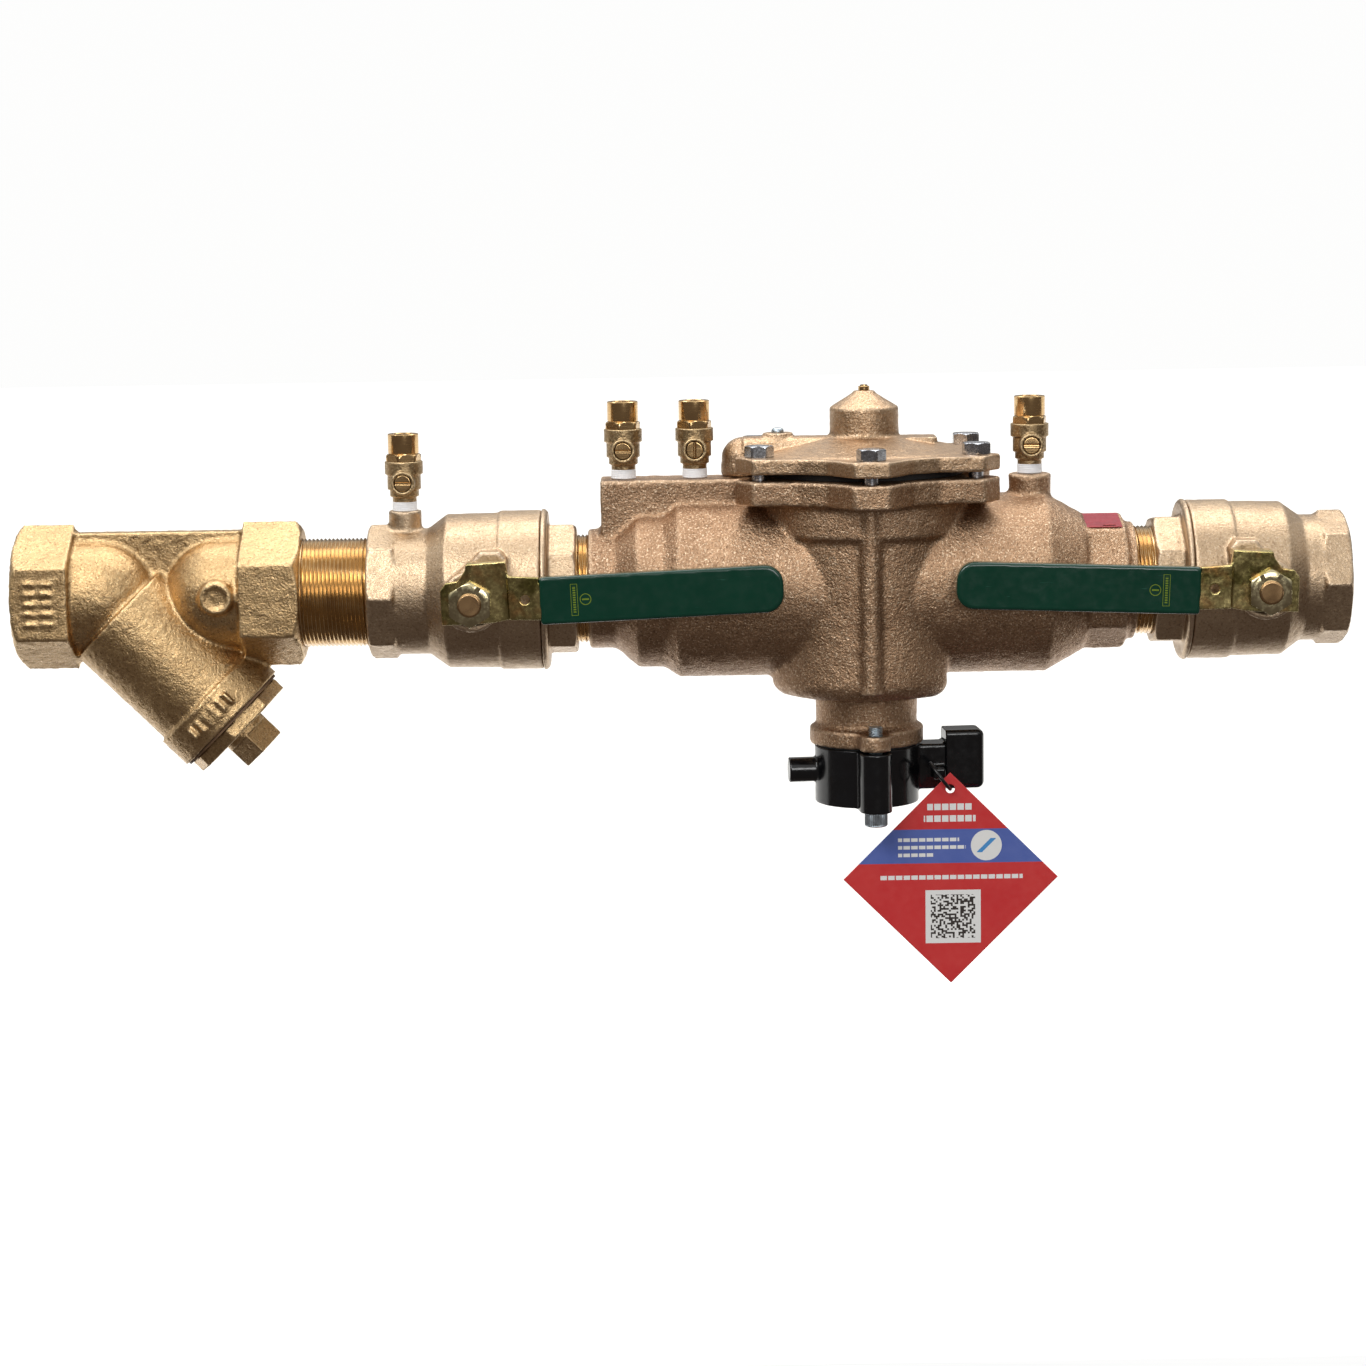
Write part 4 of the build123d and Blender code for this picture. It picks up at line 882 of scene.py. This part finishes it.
def knurled(step, along, radius, angles):
    """A knurled outside and a hexagon socket."""
    if 5.9 < radius < 6.5 and 0.9 < along < 7.2:
        return radius - KNURL_DEPTH * (1 + np.cos(angles * KNURLS))
    if 3.0 < radius < 3.7:
        return hex_limit(angles, radius, 0)
    return np.full(len(angles), float(radius))


profile = [(4, 0.5), (4, 3.1), (0.25, 3.12), (0, 3.4), (0, 5.4), (0.2, 5.9), (0.7, 6.3)]
profile += [(1.0, 6.35), (1.6, 6.35), (4, 6.35), (6.9, 6.35), (7.1, 6.3), (7.7, 6.2), (7.9, 5.9)]
profile += [(7.9, 3.95), (34, 3.95)]
screws = []
for side in (-90, 90):
    angle = math.radians(side) + SENSOR_YAW
    x, y = RELIEF_AXIS + SCREW_CIRCLE * math.cos(angle), SCREW_CIRCLE * math.sin(angle)
    head = spun(f"cap_screw{side}", (x, y, SENSOR_BOTTOM - SCREW_DROP), (0, 0, 1), profile, 144, knurled)
    thread = threads(f"cap_screw_thread{side}", (x, y, SENSOR_BOTTOM + SCREW_RISE), (0, 0, 1),
                     SCREW_LENGTH, SCREW_CREST, SCREW_DEPTH, SCREW_PITCH, 48)
    screws += [head, thread]
mesh = merge("sensor_screws_socket", screws)
piece = keep_sharp(linked("sensor_screws_socket", mesh, "screw_zinc"), 40)
stand_in(piece, "root", "sensor_screws")

# --- Test cocks -----------------------------------------------------------------------
wraps = [(-0.4, 5.9)]
for k in range(TAPE_TURNS * 4 + 1):
    crease = 0.13 * (k % 4 == 0)
    wraps.append((0.1 + TAPE_LENGTH * k / (TAPE_TURNS * 4), TAPE_RADIUS - crease - 0.004 * k))
wraps += [(5.2, 6.3), (5.2, 5.9)]


def ragged(number):
    """Seeded unevenness for the tape of one test cock."""
    ripple = np.random.default_rng(40 + number).uniform(-0.07, 0.07, (len(wraps), 12))

    def shaped(step, along, radius, angles):
        if radius < 6.2:
            return np.full(len(angles), float(radius))
        wave = sum(ripple[step][k] * np.cos((k + 1) * angles + k) for k in range(6)) * 0.5
        return radius + wave - 0.06

    return shaped


def collar(step, along, radius, angles):
    """A chamfered hexagon where the profile is wide, round elsewhere."""
    if radius > 8.6:
        slope = math.tan(math.radians(30))
        cone = 8.9 + np.minimum(along - COCK_HEX_LOW + 0.3, COCK_HEX_TOP - along) / slope
        return np.minimum(hex_limit(angles, COCK_HEX_FLAT, COCK_HEX_TURN), np.maximum(cone, 8.55))
    return np.full(len(angles), float(radius))


for number, (x, seat) in TEST_COCKS.items():
    piece = casting(f"test_cock_{number}_casting", f"test_cock_{number}_body", "cock_cast", 0.42,
                    concave=1.0, convex=0.5, count=14, grain=((1.4, 0.05),))
    stand_in(piece, "root", f"test_cock_{number}_body")
    piece = casting(f"test_cock_{number}_plug_turned", f"test_cock_{number}_plug", "cock_brass", 0.22,
                    concave=0.3, convex=0.35, count=8)
    stand_in(piece, f"cock_plug_{number}", f"test_cock_{number}_plug")
    mesh = spun(f"test_cock_{number}_tape", (x, 0, seat), (0, 0, 1), wraps, 72, ragged(number))
    piece = linked(f"test_cock_{number}_tape", mesh, "tape_ptfe")
    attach(piece, "root")

profile = [(22, 5.4), (22, 6.9), (COCK_HEX_LOW, 6.9), (COCK_HEX_LOW, 8.65), (27.6, 10), (27.9, 10)]
profile += [(29.3, 10), (30.8, 10), (31.1, 10), (COCK_HEX_TOP, 8.65), (COCK_HEX_TOP, 8.3)]
profile += [(31.6, 8.25), (32.1, 8.5), (42.1, 8.5)]
profile += [(42.5, 8.15), (42.5, 5.8), (42.2, 5.5), (32, 5.5), (31, 5.5), (30.4, 2.5), (22, 2.5)]
ends = [looped(f"cock_end{number}", (x, 0, seat), (0, 0, 1), profile, 96, collar)
        for number, (x, seat) in TEST_COCKS.items()]
piece = keep_sharp(linked("test_cock_ends_turned", merge("test_cock_ends_turned", ends), "cock_brass"))
stand_in(piece, "root", "test_cock_ends")

# --- Nameplate, sensor, tag -----------------------------------------------------------
piece = casting("nameplate_pressed", "nameplate", "nameplate_red", 0.2, concave=0.5, convex=0.2,
                count=6)
stand_in(piece, "root", "nameplate")
piece = casting("sensor_housing_moulded", "sensor_housing", "sensor_plastic", 0.65, concave=1.2,
                convex=1.0, count=20)
stand_in(piece, "root", "sensor_housing")
piece = casting("sensor_cap_moulded", "sensor_cap", "sensor_plastic", 0.5, concave=1.0, convex=1.2,
                count=24)
stand_in(piece, "connector_cap", "sensor_cap")
piece = casting("tag_card_printed", "tag", "tag_card", 0.35, concave=0.5, convex=0.25, count=6)
stand_in(piece, "flow_tag", "tag")
piece = casting("tag_tie_moulded", "tag_tie", "tie_plastic", 0.22, concave=0.3, convex=0.5, count=10)
stand_in(piece, "root", "tag_tie")

# --- CAD nodes that stay --------------------------------------------------------------
for name, node in NODES.items():
    if not node.hide_render:
        node.data.materials.clear()
        look = "gasket_fibre" if name == "strainer_cap_gasket" else SLOTS[name]
        node.data.materials.append(MATERIALS[look])

# --- Floor ----------------------------------------------------------------------------
low = CAD_BOX[0].z - FLOOR_DROP
mesh = bpy.data.meshes.new("floor")
corners = [(-FLOOR_REACH, FLOOR_FRONT, low), (FLOOR_REACH, FLOOR_FRONT, low),
           (FLOOR_REACH, FLOOR_REACH, low), (-FLOOR_REACH, FLOOR_REACH, low)]
mesh.from_pydata(corners, [], [(0, 1, 2, 3)])
floor = bpy.data.objects.new("floor", mesh)
bpy.context.collection.objects.link(floor)
mesh.materials.append(floor_paint())
